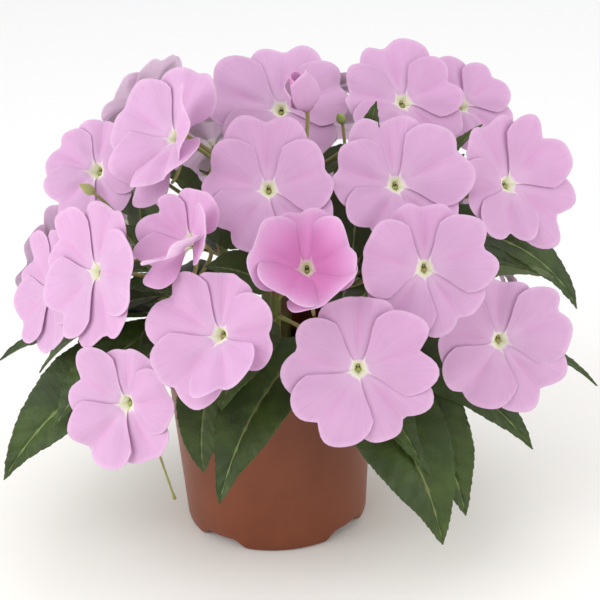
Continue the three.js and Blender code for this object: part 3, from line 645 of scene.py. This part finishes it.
def soil_finish():
    """Peat: near black brown crumbs with a few pale specks; the brown is made darker than the peat's
    own as painted shade where the soil shows deep in the plant.
    """
    f = Finish("potting_soil", 0.95, Specular_IOR_Level=0.15)
    crumb = f.noise(f.coordinates(), 420, 6.0, 0.7)
    # Dark brown of the peat, made darker still as painted shade where the soil shows between the
    # leaves.
    dark = f.ramp(crumb, [(0.3, srgb(22, 17, 12)), (0.7, srgb(52, 41, 30))])
    speck = f.node("ShaderNodeTexVoronoi", Vector=f.coordinates(), Scale=260.0).outputs["Distance"]
    f.colour(f.blend(f.ramp(speck, [(0.1, grey(0.7)), (0.16, grey(0.0))]), dark, srgb(150, 138, 120)))
    f.bump(crumb, 0.0012, 1.0)
    return f.material


def floor_finish():
    """Studio floor with painted light: paler towards the front, where the shade round the pot falls,
    and greyer towards the back, where the back light falls stronger.
    """
    f = Finish("studio_floor", 0.8, Specular_IOR_Level=0.1)
    depth = f.node("ShaderNodeSeparateXYZ", Vector=f.coordinates()).outputs["Y"]
    # Painted light: the floor runs from paler at the front to greyer at the back, against how the
    # lamps fall on it.
    share = f.math("MULTIPLY_ADD", depth, 0.5, 0.5)
    f.colour(f.ramp(share, [(0.45, srgb(251, 249, 245)), (0.8, srgb(238, 238, 238))]))
    return f.material


def make_finishes():
    """Every finish of the plant by name."""
    return {
        "petal_face": petal_finish("petal_face", 0.2, PETAL_FACE_COLOURS),
        "petal_back": petal_finish("petal_back", 0.5, PETAL_BACK_COLOURS),
        "column": column_finish(),
        "leaf_top": leaf_finish("leaf_top", 0.45, LEAF_TOP_COLOURS),
        "leaf_under": leaf_finish("leaf_under", 0.6, LEAF_UNDER_COLOURS),
        "rib": stem_finish("leaf_rib", srgb(124, 146, 84), srgb(132, 92, 66), 0.6),
        "stem": stem_finish("stem_skin", srgb(108, 128, 62), srgb(122, 60, 48), 0.85),
        "stalk": stem_finish("flower_stalk", srgb(150, 160, 92), srgb(160, 104, 84), 0.5),
        "bud": stem_finish("bud_skin", srgb(140, 156, 84), srgb(186, 150, 120), 0.4),
    }


# Leaves
def leaf_frames(foot, tip, bend, twist, s):
    """Centre, side and normal at each share s of the leaf: an arc in the upright plane through
    foot and tip that turns down by the bend, with the blade turned about it by the twist."""
    gap = tip - foot
    run = math.hypot(gap[0], gap[1])
    heading = np.array([gap[0] / run, gap[1] / run, 0.0])
    turn = math.radians(bend)
    length = np.linalg.norm(gap) * turn / 2 / math.sin(turn / 2)
    rise = math.atan2(gap[2], run) + turn / 2
    slope = rise - turn * s
    forward = length * (math.sin(rise) - np.sin(slope)) / turn
    climb = length * (np.cos(slope) - math.cos(rise)) / turn
    up = np.array([0.0, 0.0, 1.0])
    centre = foot + forward[:, None] * heading + climb[:, None] * up
    upright = -np.sin(slope)[:, None] * heading + np.cos(slope)[:, None] * up
    right = np.cross(heading, up)
    t = math.radians(twist)
    side = right * math.cos(t) + upright * math.sin(t)
    normal = upright * math.cos(t) - right * math.sin(t)
    return centre, side, normal


def leaf_half_width(s, width):
    """Half the width at share s: nothing along the stalk, fullest below the middle, and drawn
    out to a point at the tip."""
    share = np.clip((s - LEAF_STALK) / (1 - LEAF_STALK), 0, 1)
    lobe = np.sin(np.pi * share ** LEAF_BELLY) ** LEAF_BLUNT * (1 - LEAF_TAPER * share)
    drawn = 1 - 0.3 * smooth((share - 0.72) / 0.2) * (1 - share) * 3
    return 0.5 * width * np.maximum(lobe, 0) * drawn + 0.6 * (1 - smooth(s / 0.12)) + 0.3 * (1 - s)


def add_leaf(piece, foot, tip, bend, width, twist, rng):
    """A leaf blade with forward teeth along its edge, the surface puffed between side veins that
    sweep forward, a waved margin, and a round rib that runs under it from the stalk."""
    foot, tip = np.asarray(foot, float), np.asarray(tip, float)
    teeth = max(8, int(np.linalg.norm(tip - foot) / TOOTH_PITCH))
    s = np.append(((np.arange(teeth)[:, None] + TOOTH_STEPS) / teeth).ravel(), 1.0)
    v = np.concatenate([LEAF_ACROSS, -LEAF_ACROSS[-2::-1]])
    centre, side, normal = leaf_frames(foot, tip, bend, twist, s)
    half = leaf_half_width(s, width)[:, None]
    blade = np.clip((s - LEAF_STALK) / (1 - LEAF_STALK), 0, 1)[:, None]
    ramp = ((s * teeth) % 1.0)[:, None]
    edge = np.abs(v)[None, :]
    tooth = TOOTH_SIZE * (ramp - 0.5) * edge ** 10 * smooth(blade / 0.12) * smooth((1 - blade) / 0.05)
    offset = v[None, :] * half + np.sign(v)[None, :] * tooth
    phase = blade * SIDE_VEINS - VEIN_SWEEP * edge ** 0.8 * half / (0.5 * width)
    between = 2 * np.abs((phase % 1.0) - 0.5)
    vein = bell(between, 0.3) * smooth(edge / 0.05) * smooth((1.02 - edge) / 0.2) * smooth(half / 3)
    rib = bell(v, 0.05)[None, :] * np.ones_like(half)
    puff = 0.016 * width * between ** 2 - 0.01 * width * vein
    ripple = np.sin(blade * rng.uniform(14, 20) + np.sign(v) * rng.uniform(0, 3))
    wave = 0.02 * width * ripple * edge ** 3
    raised = np.abs(offset) * math.tan(math.radians(LEAF_FOLD)) * (1 - 0.25 * edge)
    height = raised + (puff + wave) * smooth(half / 4.0) * (1 - rib) - 0.4 * rib
    points = centre[:, None] + side[:, None] * offset[..., None] + normal[:, None] * height[..., None]
    line = np.clip(0.42 * vein + rib, 0, 1) * np.ones_like(offset)
    shade = rng.uniform(0, 0.3)
    piece.sheet(points, LEAF_SHEET, grid_uv(s, 0.5 + 0.5 * v), (0, 1), shade=shade, line=line)
    ribs = np.linspace(0, 0.96, 24)
    centre, _, normal = leaf_frames(foot, tip, bend, twist, ribs)
    radius = 1.25 * (1 - ribs) ** 0.9 + 0.22
    piece.tube(centre - normal * (radius * 0.75 + 0.1)[:, None], radius, 2, 8)


def ruled_leaves():
    """The leaves that a rule sets, each moved a little by a seeded draw."""
    seed = LEAF_SEED

    def draw(span):
        nonlocal seed
        seed = (seed * 1664525 + 1013904223) % 2 ** 32
        return span * (seed / 2 ** 31 - 1)

    rows = []
    for index, places in LEAVES_BY_RULE:
        for place in places:
            up, aside, reach, height, bend, width = LEAF_PLACES[place]
            tip = outward(STEMS[index][1] + aside + draw(4)) * (reach + draw(6))
            tip[2] = height + draw(5)
            rows.append([index, up + draw(0.02), tip, bend + draw(8), width + draw(3), draw(8)])
    return rows


# Stems and stalks
def stem_point(stem, up):
    """A point of a stem's middle line: its reach grows as a power of the height up it."""
    _, bearing, root, reach, height = stem
    up = np.asarray(up, float)
    away = root + (reach - root) * np.maximum(0, up) ** STEM_BOW
    level = ROOT_HEIGHT + (height - ROOT_HEIGHT) * up
    return away[..., None] * outward(bearing) + level[..., None] * [0, 0, 1]


def add_stem(piece, stem):
    """A fleshy stem, tapered, with a swollen joint every fifth of its height."""
    up = np.linspace(0, 1, 41)
    taper = STEM_RADIUS + (STEM_TIP_RADIUS - STEM_RADIUS) * up
    joint = 1 + 0.1 * bell(((up * 5 + 0.5) % 1) - 0.5, 0.12)
    piece.tube(stem_point(stem, up), taper * joint * 0.97, 3, 14)


def add_stalk(piece, start, end, axis, straight, girth=1.0):
    """A round stalk that leaves the stem upward, arrives at its end along the end's own axis,
    and thickens a little at both ends."""
    u = np.linspace(0, 1, STALK_STEPS)
    before = end - axis * straight
    after = start + (before - start) * STALK_REACH + [0, 0, STALK_RISE]
    radius = STALK_RADIUS * (0.82 + 0.3 * (1 - smooth(u / 0.15)) + 0.25 * smooth((u - 0.9) / 0.1))
    piece.tube(bezier([start, after, before, end], u), radius * girth, 4, 8)


def add_bud(piece, middle, axis, length):
    """A closed bud: an egg drawn out to a beak, its girth a sine of the share along it."""
    s = np.linspace(0, 1, 16)
    path = middle + (s - 0.5)[:, None] * axis * length
    girth = np.sin(np.pi * s ** 0.75) ** 0.8 * (1 - 0.25 * s)
    path = path + (0.03 * length * np.sin(np.pi * s))[:, None] * np.array([0, 0, 1.0])
    piece.tube(path, BUD_GIRTH * length * np.maximum(girth, 0.05), 5, 12)


def build_leafy_stem(index, leaves, finishes):
    """One stem with its leaves, flower stalks and buds."""
    stem = STEMS[index]
    rng = np.random.default_rng(100 + index)
    piece = Piece()
    add_stem(piece, stem)
    for owner, up, tip, bend, width, twist in leaves:
        if owner == index:
            add_leaf(piece, stem_point(stem, up), tip, bend, width, twist, rng)
    for _, owner, up, place, turn, climb, *_ in BLOOMS:
        if owner == index:
            axis = facing(turn, climb)
            end = np.array(place, float) - axis * (THROAT_DEPTH - 1)
            add_stalk(piece, stem_point(stem, up), end, axis, STALK_STRAIGHT)
    for owner, up, middle, turn, climb, length in SMALL_BUDS:
        if owner == index:
            axis = facing(turn, climb)
            end = np.array(middle, float) - axis * BUD_GIRTH * length
            add_stalk(piece, stem_point(stem, up), end, axis, length, 0.8)
            add_bud(piece, np.array(middle, float), axis, length)
    if OPENING_BUD[1] == index:
        _, _, up, middle, turn, climb = OPENING_BUD
        axis = facing(turn, climb)
        end = np.array(middle, float) - axis * (OPENING_BUD_LENGTH * OPENING_BUD_CORE / 2 - 1)
        add_stalk(piece, stem_point(stem, up), end, axis, STALK_STRAIGHT)
    if SPENT_STALK_STEM == index:
        u = np.linspace(0, 3, 40)
        points = np.array(SPENT_STALK, float)
        path = np.stack([np.interp(u, range(4), points[:, k]) for k in range(3)], axis=-1)
        for _ in range(12):
            path[1:-1] = 0.25 * path[:-2] + 0.5 * path[1:-1] + 0.25 * path[2:]
        piece.tube(path, SPENT_STALK_RADIUS * (0.7 + 0.5 * smooth((u - 2.85) / 0.15)), 4, 8)
    obj = piece.build(stem[0] + "_grown", [finishes[n] for n in STEM_FINISHES])
    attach(obj, "root")
    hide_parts(stem[0])


# Blooms
def petal_points(k, span, cup, lift, stretch, rng):
    """One petal on a grid of reach t and spread v. The reach is shortened by a notch at the
    middle of the edge and at the sides, and the spread narrows towards the throat. The height
    is a cup that all five share, plus a soft crease, a puffed lobe each side, a waved, curled
    rim, and sides raised where the petal lies over its neighbours or lowered where it lies
    under them, less a bell round the eye. The whole is folded forward about its foot."""
    angle, reach, spread, lap = PETALS[k]
    angle = angle + rng.uniform(-3, 3)
    spread = spread + PETAL_WIDENING + rng.uniform(-3, 4)
    length = span / 2 * reach * stretch * rng.uniform(0.96, 1.04)
    foot = EYE_RADIUS / length
    t = (foot + (1 - foot) * np.append(0.988 * np.linspace(0, 1, PETAL_ROWS - 1) ** 1.3, 1))[:, None]
    v = np.concatenate([[-1], np.linspace(-0.975, 0.975, PETAL_COLUMNS - 2), [1]])[None, :]
    side = np.abs(v)
    notch = (TOP_PETAL_NOTCH if k == 0 else PETAL_NOTCH) * rng.uniform(0.5, 1.3)
    middle = rng.uniform(-0.12, 0.12)
    dip = notch * np.exp(-(np.abs(v - middle) / PETAL_NOTCH_WIDTH) ** 1.4)
    uneven = rng.uniform(-0.08, 0.08) * v + 0.024 * np.sin(v * rng.uniform(6, 11) + rng.uniform(0, 6))
    edge = 1 - dip - PETAL_SHOULDER * side ** PETAL_ROUND + uneven * (1 - v * v)
    turn = v * math.radians(spread) * (PETAL_WAIST + (1 - PETAL_WAIST) * smooth(t / PETAL_FULL))
    r = length * t * (1 + (edge - 1) * smooth((t - 0.25) / 0.75))
    far = smooth((t - 0.12) / 0.4)
    inside = 1 - smooth((side - 0.3) / 0.4)
    crease = -0.032 * length * bell(v - middle * t, 0.2) * far * rng.uniform(0.5, 1.4)
    puff = 0.032 * length * np.sin(np.pi * np.minimum(side * 1.3, 1)) * far * rng.uniform(0.3, 1.2)
    wave = 0.032 * length * t ** 3 * np.sin(v * rng.uniform(5, 9) + rng.uniform(0, 6)) * inside
    curl = -0.06 * length * t ** 7 * rng.uniform(-0.2, 1.2) * (1 - side ** 2)
    sides = np.where(v > 0, rng.uniform(0.5, 1.6), rng.uniform(0.5, 1.6)) * side ** 2
    before = lap * (0.6 * smooth(t / 0.3) + sides * smooth(t / 0.6))
    height = cup * r * r / (span / 2) + before + crease + puff + wave + curl
    across, along = r * np.sin(turn), r * np.cos(turn)
    a = math.radians(lift + PETAL_TILT * lap)
    forward = along * math.cos(a) - height * math.sin(a)
    out = along * math.sin(a) + height * math.cos(a) - EYE_DEPTH * bell(r, EYE_WIDTH)
    c, s = math.cos(math.radians(angle)), math.sin(math.radians(angle))
    x, y = forward * c - across * s, forward * s + across * c
    x = x * (EYE_SQUEEZE + (1 - EYE_SQUEEZE) * smooth(r / 5))
    points = np.stack([x, y, out], axis=-1)
    # Where the painted shade along the crease falls: down the petal's middle, away from the eye and
    # the rim.
    line = bell(v, 0.1) * smooth((t - 0.15) / 0.2) * (1 - smooth((t - 0.5) / 0.5)) * 0.5
    pale = 1 - smooth((r - EYE_PALE) / (2.0 + EYE_RAYS * side ** 4))
    # The slit at the eye, painted dark olive to near black as the shade in the opening.
    dark = 1 - smooth((np.hypot(x / 0.9, y / 1.6) - 0.9) / 0.5)
    eye = 0.45 * pale + 0.55 * dark
    return points, grid_uv(t[:, 0], 0.5 + 0.5 * v[0]), line, eye


def add_column(piece):
    """The bottom of the throat, painted near black as the shade in the slit, and the small blunt
    column that stands over the slit.
    """
    s = np.linspace(0, 1, 9)
    zero = 0 * s
    # A plug at the bottom of the throat, painted near black as the shade in the slit.
    path = np.stack([zero, zero, PLUG_FOOT + PLUG_HEIGHT * s], axis=-1)
    piece.tube(path, PLUG_RADIUS * (1 - 0.2 * s), 0, 16, eye=1.0)
    path = np.stack([zero, 1.5 - 0.4 * s * s, COLUMN_FOOT + COLUMN_HEIGHT * s], axis=-1)
    piece.tube(path, COLUMN_RADIUS * np.sin(np.pi * (0.25 + 0.74 * s)) ** 0.5, 2, 10)


def add_throat(piece, span):
    """The funnel behind the petals, from a wide front to the blunt end that the stalk meets."""
    front = THROAT_SHARE * span / 2
    z = np.linspace(-THROAT_DEPTH, THROAT_FRONT, 14)
    share = (z + THROAT_DEPTH) / (THROAT_DEPTH + THROAT_FRONT)
    radius = THROAT_END_RADIUS + (front - THROAT_END_RADIUS) * smooth(share) ** 1.3
    piece.tube(np.stack([0 * z, 0 * z, z], axis=-1), radius, 3, 20)
    u = np.linspace(0, 1, 22)
    piece.tube(bezier(SPUR_PATH, u), SPUR_RADIUS + (SPUR_TIP_RADIUS - SPUR_RADIUS) * u, 3, 8)
    for side in (-1, 1):
        add_sepal(piece, side)


def add_sepal(piece, side):
    """A small pointed sepal that lies back along one side of the throat."""
    s = np.linspace(0, 1, 9)[:, None]
    v = np.linspace(-1, 1, 7)[None, :]
    half = 2.1 * np.sin(np.pi * np.clip(s, 0.02, 0.98) ** 0.7) ** 0.8
    x = side * (2.4 + 4.6 * s ** 1.5 + 0.3 * v * v)
    points = np.stack([x + 0 * v, v * half - 1.0, -8.8 + 5.0 * s + 0 * v], axis=-1)
    if side > 0:
        points = points[:, ::-1]
    piece.sheet(points, 0.3, grid_uv(s[:, 0], 0.5 + 0.5 * v[0]), (4, 4))


def build_bloom(index, row, finishes):
    """One open bloom: five petals, the eye, the funnel with its spur, and two sepals."""
    name, _, _, place, turn, climb, roll, span, cup, lifts = row
    rng = np.random.default_rng(500 + index)
    piece = Piece()
    for k, lift in enumerate(RAISED_PETALS.get(name, lifts)):
        stretch = PETAL_REACHES.get(name, [1, 1, 1, 1, 1])[k]
        points, uv, line, eye = petal_points(k, span, cup, lift, stretch, rng)
        shade = YOUNG_BLOOMS.get(name, 0.0) * (1 - uv[..., 1] ** 2) + rng.uniform(0, 0.12)
        piece.sheet(points, PETAL_THICKNESS, uv, (0, 1), shade=shade, line=line, eye=eye)
    add_column(piece)
    add_throat(piece, span)
    axes = face_frame(turn, climb, roll)
    piece.points = [p @ axes + place for p in piece.points]
    obj = piece.build(name + "_open", [finishes[n] for n in BLOOM_FINISHES])
    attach(obj, "root")
    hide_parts(name)


def egg_girth(share):
    """Radius of an egg at a share of its height, as a share of its widest."""
    return np.sin(np.pi * np.clip(share, 0, 1) ** 0.85) ** 0.7


def build_opening_bud(finishes):
    """A bud about to open: a deep pink petal rolled into a scroll, wrapped in two paler ones
    that swell as an egg does, overlap and draw in at the top, on a small green cup."""
    name, _, _, middle, turn, climb = OPENING_BUD
    piece = Piece()
    length, radius = OPENING_BUD_LENGTH, OPENING_BUD_RADIUS
    rows = np.linspace(0.08, 1, 20)[:, None]
    around = np.linspace(0, 1, 60)[None, :]
    at = rows * (0.84 + 0.12 * around - 0.05 * np.sin(9 * around))
    r = radius * (0.14 + 0.62 * around) * (0.25 + 0.75 * egg_girth(at * 0.92))
    a = np.radians(200 + 560 * around)
    scroll = np.stack([r * np.cos(a), r * np.sin(a), length * (at - 0.5)], axis=-1)
    piece.sheet(scroll[:, ::-1], PETAL_THICKNESS, grid_uv(rows[:, 0], around[0]), (0, 1), shade=0.95)
    for middle_angle, girth, height in BUD_WRAPS:
        side = np.linspace(-1, 1, 27)[None, :]
        at = rows * height * (1 - 0.16 * np.abs(side) ** 2.2 * smooth(rows))
        swell = 0.98 * smooth(at / 0.42) ** 0.6 * (1 - 0.5 * smooth((at - 0.45) / 0.6))
        flare = (1 + (girth - 1) * rows) * (1 + 0.06 * side) + 0.05 * np.sin(side * 5) * rows ** 3
        r = radius * swell * flare
        a = np.radians(middle_angle + 92 * side * (0.8 + 0.2 * rows))
        points = np.stack([r * np.cos(a), r * np.sin(a), length * (at - 0.5)], axis=-1)
        uv = grid_uv(rows[:, 0], 0.5 + 0.5 * side[0])
        piece.sheet(points[:, ::-1], PETAL_THICKNESS, uv, (0, 1), shade=0.1)
    u = np.linspace(0, 1, 8)
    cup = np.stack([0 * u, 0 * u, -length * 0.47 + 4.5 * u], axis=-1)
    piece.tube(cup, 1.6 + 2.4 * u ** 0.7, 2, 16)
    axes = face_frame(turn, climb, 0)
    piece.points = [p @ axes + middle for p in piece.points]
    obj = piece.build(name + "_wrapped", [finishes[n] for n in ("petal_face", "petal_back", "bud")])
    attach(obj, "root")
    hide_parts(name)


# Pot and soil
def wall_radius(z):
    """Outer radius of the pot's wall at a height."""
    return POT_FOOT_RADIUS + POT_FLARE * z


def pot_profile():
    """Radius and height of the pot's outline: outside from the middle of the base round the
    foot's corner, up the wall, out and up the rim and over its lip, then down the inside."""
    corner = np.radians(np.linspace(0, 90, 8))
    base = [[r, 0] for r in np.linspace(1, POT_FOOT_RADIUS - POT_CORNER, 28)[:-1]]
    foot = np.stack([POT_FOOT_RADIUS - POT_CORNER + POT_CORNER * np.sin(corner),
                     POT_CORNER - POT_CORNER * np.cos(corner)], axis=-1)
    rim_foot = POT_HEIGHT - RIM_HEIGHT
    wall = [[wall_radius(z), z] for z in np.linspace(POT_CORNER + 1, rim_foot - 0.6, 24)]
    step = [[wall_radius(rim_foot) + 0.3, rim_foot - 0.1], [wall_radius(rim_foot) + 0.9, rim_foot],
            [RIM_RADIUS - RIM_LIP - 0.5, rim_foot], [RIM_RADIUS - 0.5, rim_foot + 0.6],
            [RIM_RADIUS - 0.15, rim_foot + 1.6]]
    band = [[RIM_RADIUS, z] for z in np.linspace(rim_foot + 3, POT_HEIGHT - RIM_LIP, 6)]
    brim = wall_radius(POT_HEIGHT)
    lip = [[RIM_RADIUS - 0.4, POT_HEIGHT - 0.35], [RIM_RADIUS - 1.2, POT_HEIGHT],
           [brim + 0.4, POT_HEIGHT], [brim - 0.8, POT_HEIGHT - 0.3],
           [brim - POT_WALL, POT_HEIGHT - RIM_LIP]]
    inside = [[wall_radius(z) - POT_WALL, z] for z in np.linspace(POT_HEIGHT - 4, POT_FLOOR + 2, 12)]
    floor = [[wall_radius(POT_FLOOR) - POT_WALL - 1.5, POT_FLOOR], [20, POT_FLOOR], [1, POT_FLOOR]]
    return np.concatenate([base, foot, wall, step, band, lip]), np.concatenate([inside, floor])


def build_pot(finish):
    """The pot's outline turned round, with the foot lifted in four shallow arches that run in
    from the wall, and a slight waver of the thin wall."""
    outside, inside = pot_profile()
    profile = np.concatenate([outside, inside])
    a = np.linspace(0, 2 * np.pi, POT_SIDES, endpoint=False)[None, :]
    r, z = profile[:, :1], profile[:, 1:]
    waver = 0.12 * np.sin(3 * a + 0.6) * smooth((z - 10) / 60) * smooth((r - 45) / 4)
    x = (r + waver) * np.sin(a)
    y = -(r + waver) * np.cos(a)
    outer = np.arange(len(profile))[:, None] < len(outside)
    arch = np.zeros_like(x)
    half = POT_FOOT_RADIUS * math.sin(math.radians(NOTCH_HALF_ANGLE))
    for bearing in NOTCH_BEARINGS:
        b = math.radians(bearing)
        across = np.abs(x * math.cos(b) + y * math.sin(b))
        away = x * math.sin(b) - y * math.cos(b)
        shape = 1 - smooth((across - NOTCH_CROWN * half) / ((1 - NOTCH_CROWN) * half))
        arch = np.maximum(arch, shape * smooth((away - (POT_FOOT_RADIUS - NOTCH_DEPTH - 0.5)) / 1.0))
    lifted = z + NOTCH_HEIGHT * arch * np.clip(1 - z / 9, 0, 1) * outer
    rings = np.stack([x, y, lifted], axis=-1)
    piece = Piece()
    piece.turned(rings, np.array([0.5, 0.5]), 0)
    obj = piece.build("pot_moulded", [finish])
    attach(obj, "root")
    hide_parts("pot")


def build_soil(finish):
    """The soil's domed top, heaped in crumbs by sums of sines of many directions, on a plain
    plug that fills the pot."""
    rng = np.random.default_rng(31)
    a = np.linspace(0, 2 * np.pi, SOIL_SIDES, endpoint=False)[None, :]
    inner = wall_radius(SOIL_TOP - SOIL_DOME) - POT_WALL - TOUCH_GAP
    share = np.linspace(0.01, 1, SOIL_RINGS)[:, None]
    x, y = share * inner * np.sin(a), -share * inner * np.cos(a)
    z = SOIL_TOP - SOIL_DOME * share ** 2 + 0 * a
    for scale, size in ((0.5, 0.5), (1.1, 0.35), (2.3, 0.25)):
        for _ in range(7):
            way, phase = rng.uniform(0, 2 * np.pi), rng.uniform(0, 6)
            z = z + size * 0.4 * np.sin(scale * (x * math.cos(way) + y * math.sin(way)) + phase)
    top = np.stack([x, y, np.minimum(z, SOIL_TOP + 1.2)], axis=-1)
    depth = np.array([[84, 1.0], [60, 1.0], [30, 1.0], [POT_FLOOR + TOUCH_GAP, 1.0],
                      [POT_FLOOR + TOUCH_GAP, 0.02]])
    sides = []
    for height, scale in depth:
        radius = (wall_radius(height) - POT_WALL - TOUCH_GAP) * scale
        ring = np.stack([radius * np.sin(a[0]), -radius * np.cos(a[0]), height + 0 * a[0]], axis=-1)
        sides.append(ring)
    piece = Piece()
    piece.turned(np.concatenate([np.stack(sides)[::-1], top[::-1]]), np.array([0.5, 0.5]), 0)
    obj = piece.build("soil_crumbs", [finish])
    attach(obj, "root")
    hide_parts("soil")


# Stage
def placed(axes, place):
    """A placement from three axes, in columns, and a place."""
    rows = [[*row, p] for row, p in zip(axes, place)]
    return Matrix(rows + [[0, 0, 0, 1]])


def build_floor():
    """A wide flat floor under the pot."""
    mesh = bpy.data.meshes.new("studio_floor")
    w = FLOOR_HALF_WIDTH
    mesh.from_pydata([(-w, -w, 0), (w, -w, 0), (w, w, 0), (-w, w, 0)], [], [(0, 1, 2, 3)])
    mesh.materials.append(floor_finish())
    obj = bpy.data.objects.new("studio_floor", mesh)
    bpy.context.scene.collection.objects.link(obj)


def add_light(name, place, target, size, power):
    """A soft square light that faces a point."""
    data = bpy.data.lights.new(name, "AREA")
    data.size = size
    data.energy = power
    obj = bpy.data.objects.new(name, data)
    bpy.context.scene.collection.objects.link(obj)
    out = unit(np.array(place) - np.array(target))
    x = unit(np.cross([0, 0, 1.0], out))
    y = np.cross(out, x)
    obj.matrix_world = placed(np.stack([x, y, out]).T, place)


def build_lights():
    """A bright even sky, with a broad light over the left shoulder and softer ones opposite."""
    world = bpy.data.worlds.new("studio")
    world.use_nodes = True
    background = world.node_tree.nodes["Background"]
    background.inputs["Color"].default_value = (1, 1, 1, 1)
    background.inputs["Strength"].default_value = SKY_STRENGTH
    bpy.context.scene.world = world
    for row in LIGHTS:
        add_light(*row)


def build_camera():
    """The view of the photograph: a long lens looking down by the climb, rolled a little."""
    c, r = math.radians(CAMERA_CLIMB), math.radians(CAMERA_ROLL)
    forward = np.array([0, math.cos(c), -math.sin(c)])
    level = np.array([1.0, 0, 0])
    upright = np.array([0, math.sin(c), math.cos(c)])
    right = level * math.cos(r) - upright * math.sin(r)
    up = level * math.sin(r) + upright * math.cos(r)
    data = bpy.data.cameras.new("camera")
    data.lens = CAMERA_LENS
    data.sensor_width = CAMERA_SENSOR
    obj = bpy.data.objects.new("camera", data)
    bpy.context.scene.collection.objects.link(obj)
    obj.matrix_world = placed(np.stack([right, up, -forward]).T, [p * MM for p in CAMERA_PLACE])
    bpy.context.scene.camera = obj


# The whole plant
bpy.context.scene.view_settings.view_transform = "Standard"
build_camera()
build_lights()
build_floor()
finishes = make_finishes()
build_pot(pot_finish())
build_soil(soil_finish())
all_leaves = LEAVES + ruled_leaves()
for stem_index in range(len(STEMS)):
    build_leafy_stem(stem_index, all_leaves, finishes)
for bloom_index, bloom_row in enumerate(BLOOMS):
    build_bloom(bloom_index, bloom_row, finishes)
build_opening_bud(finishes)
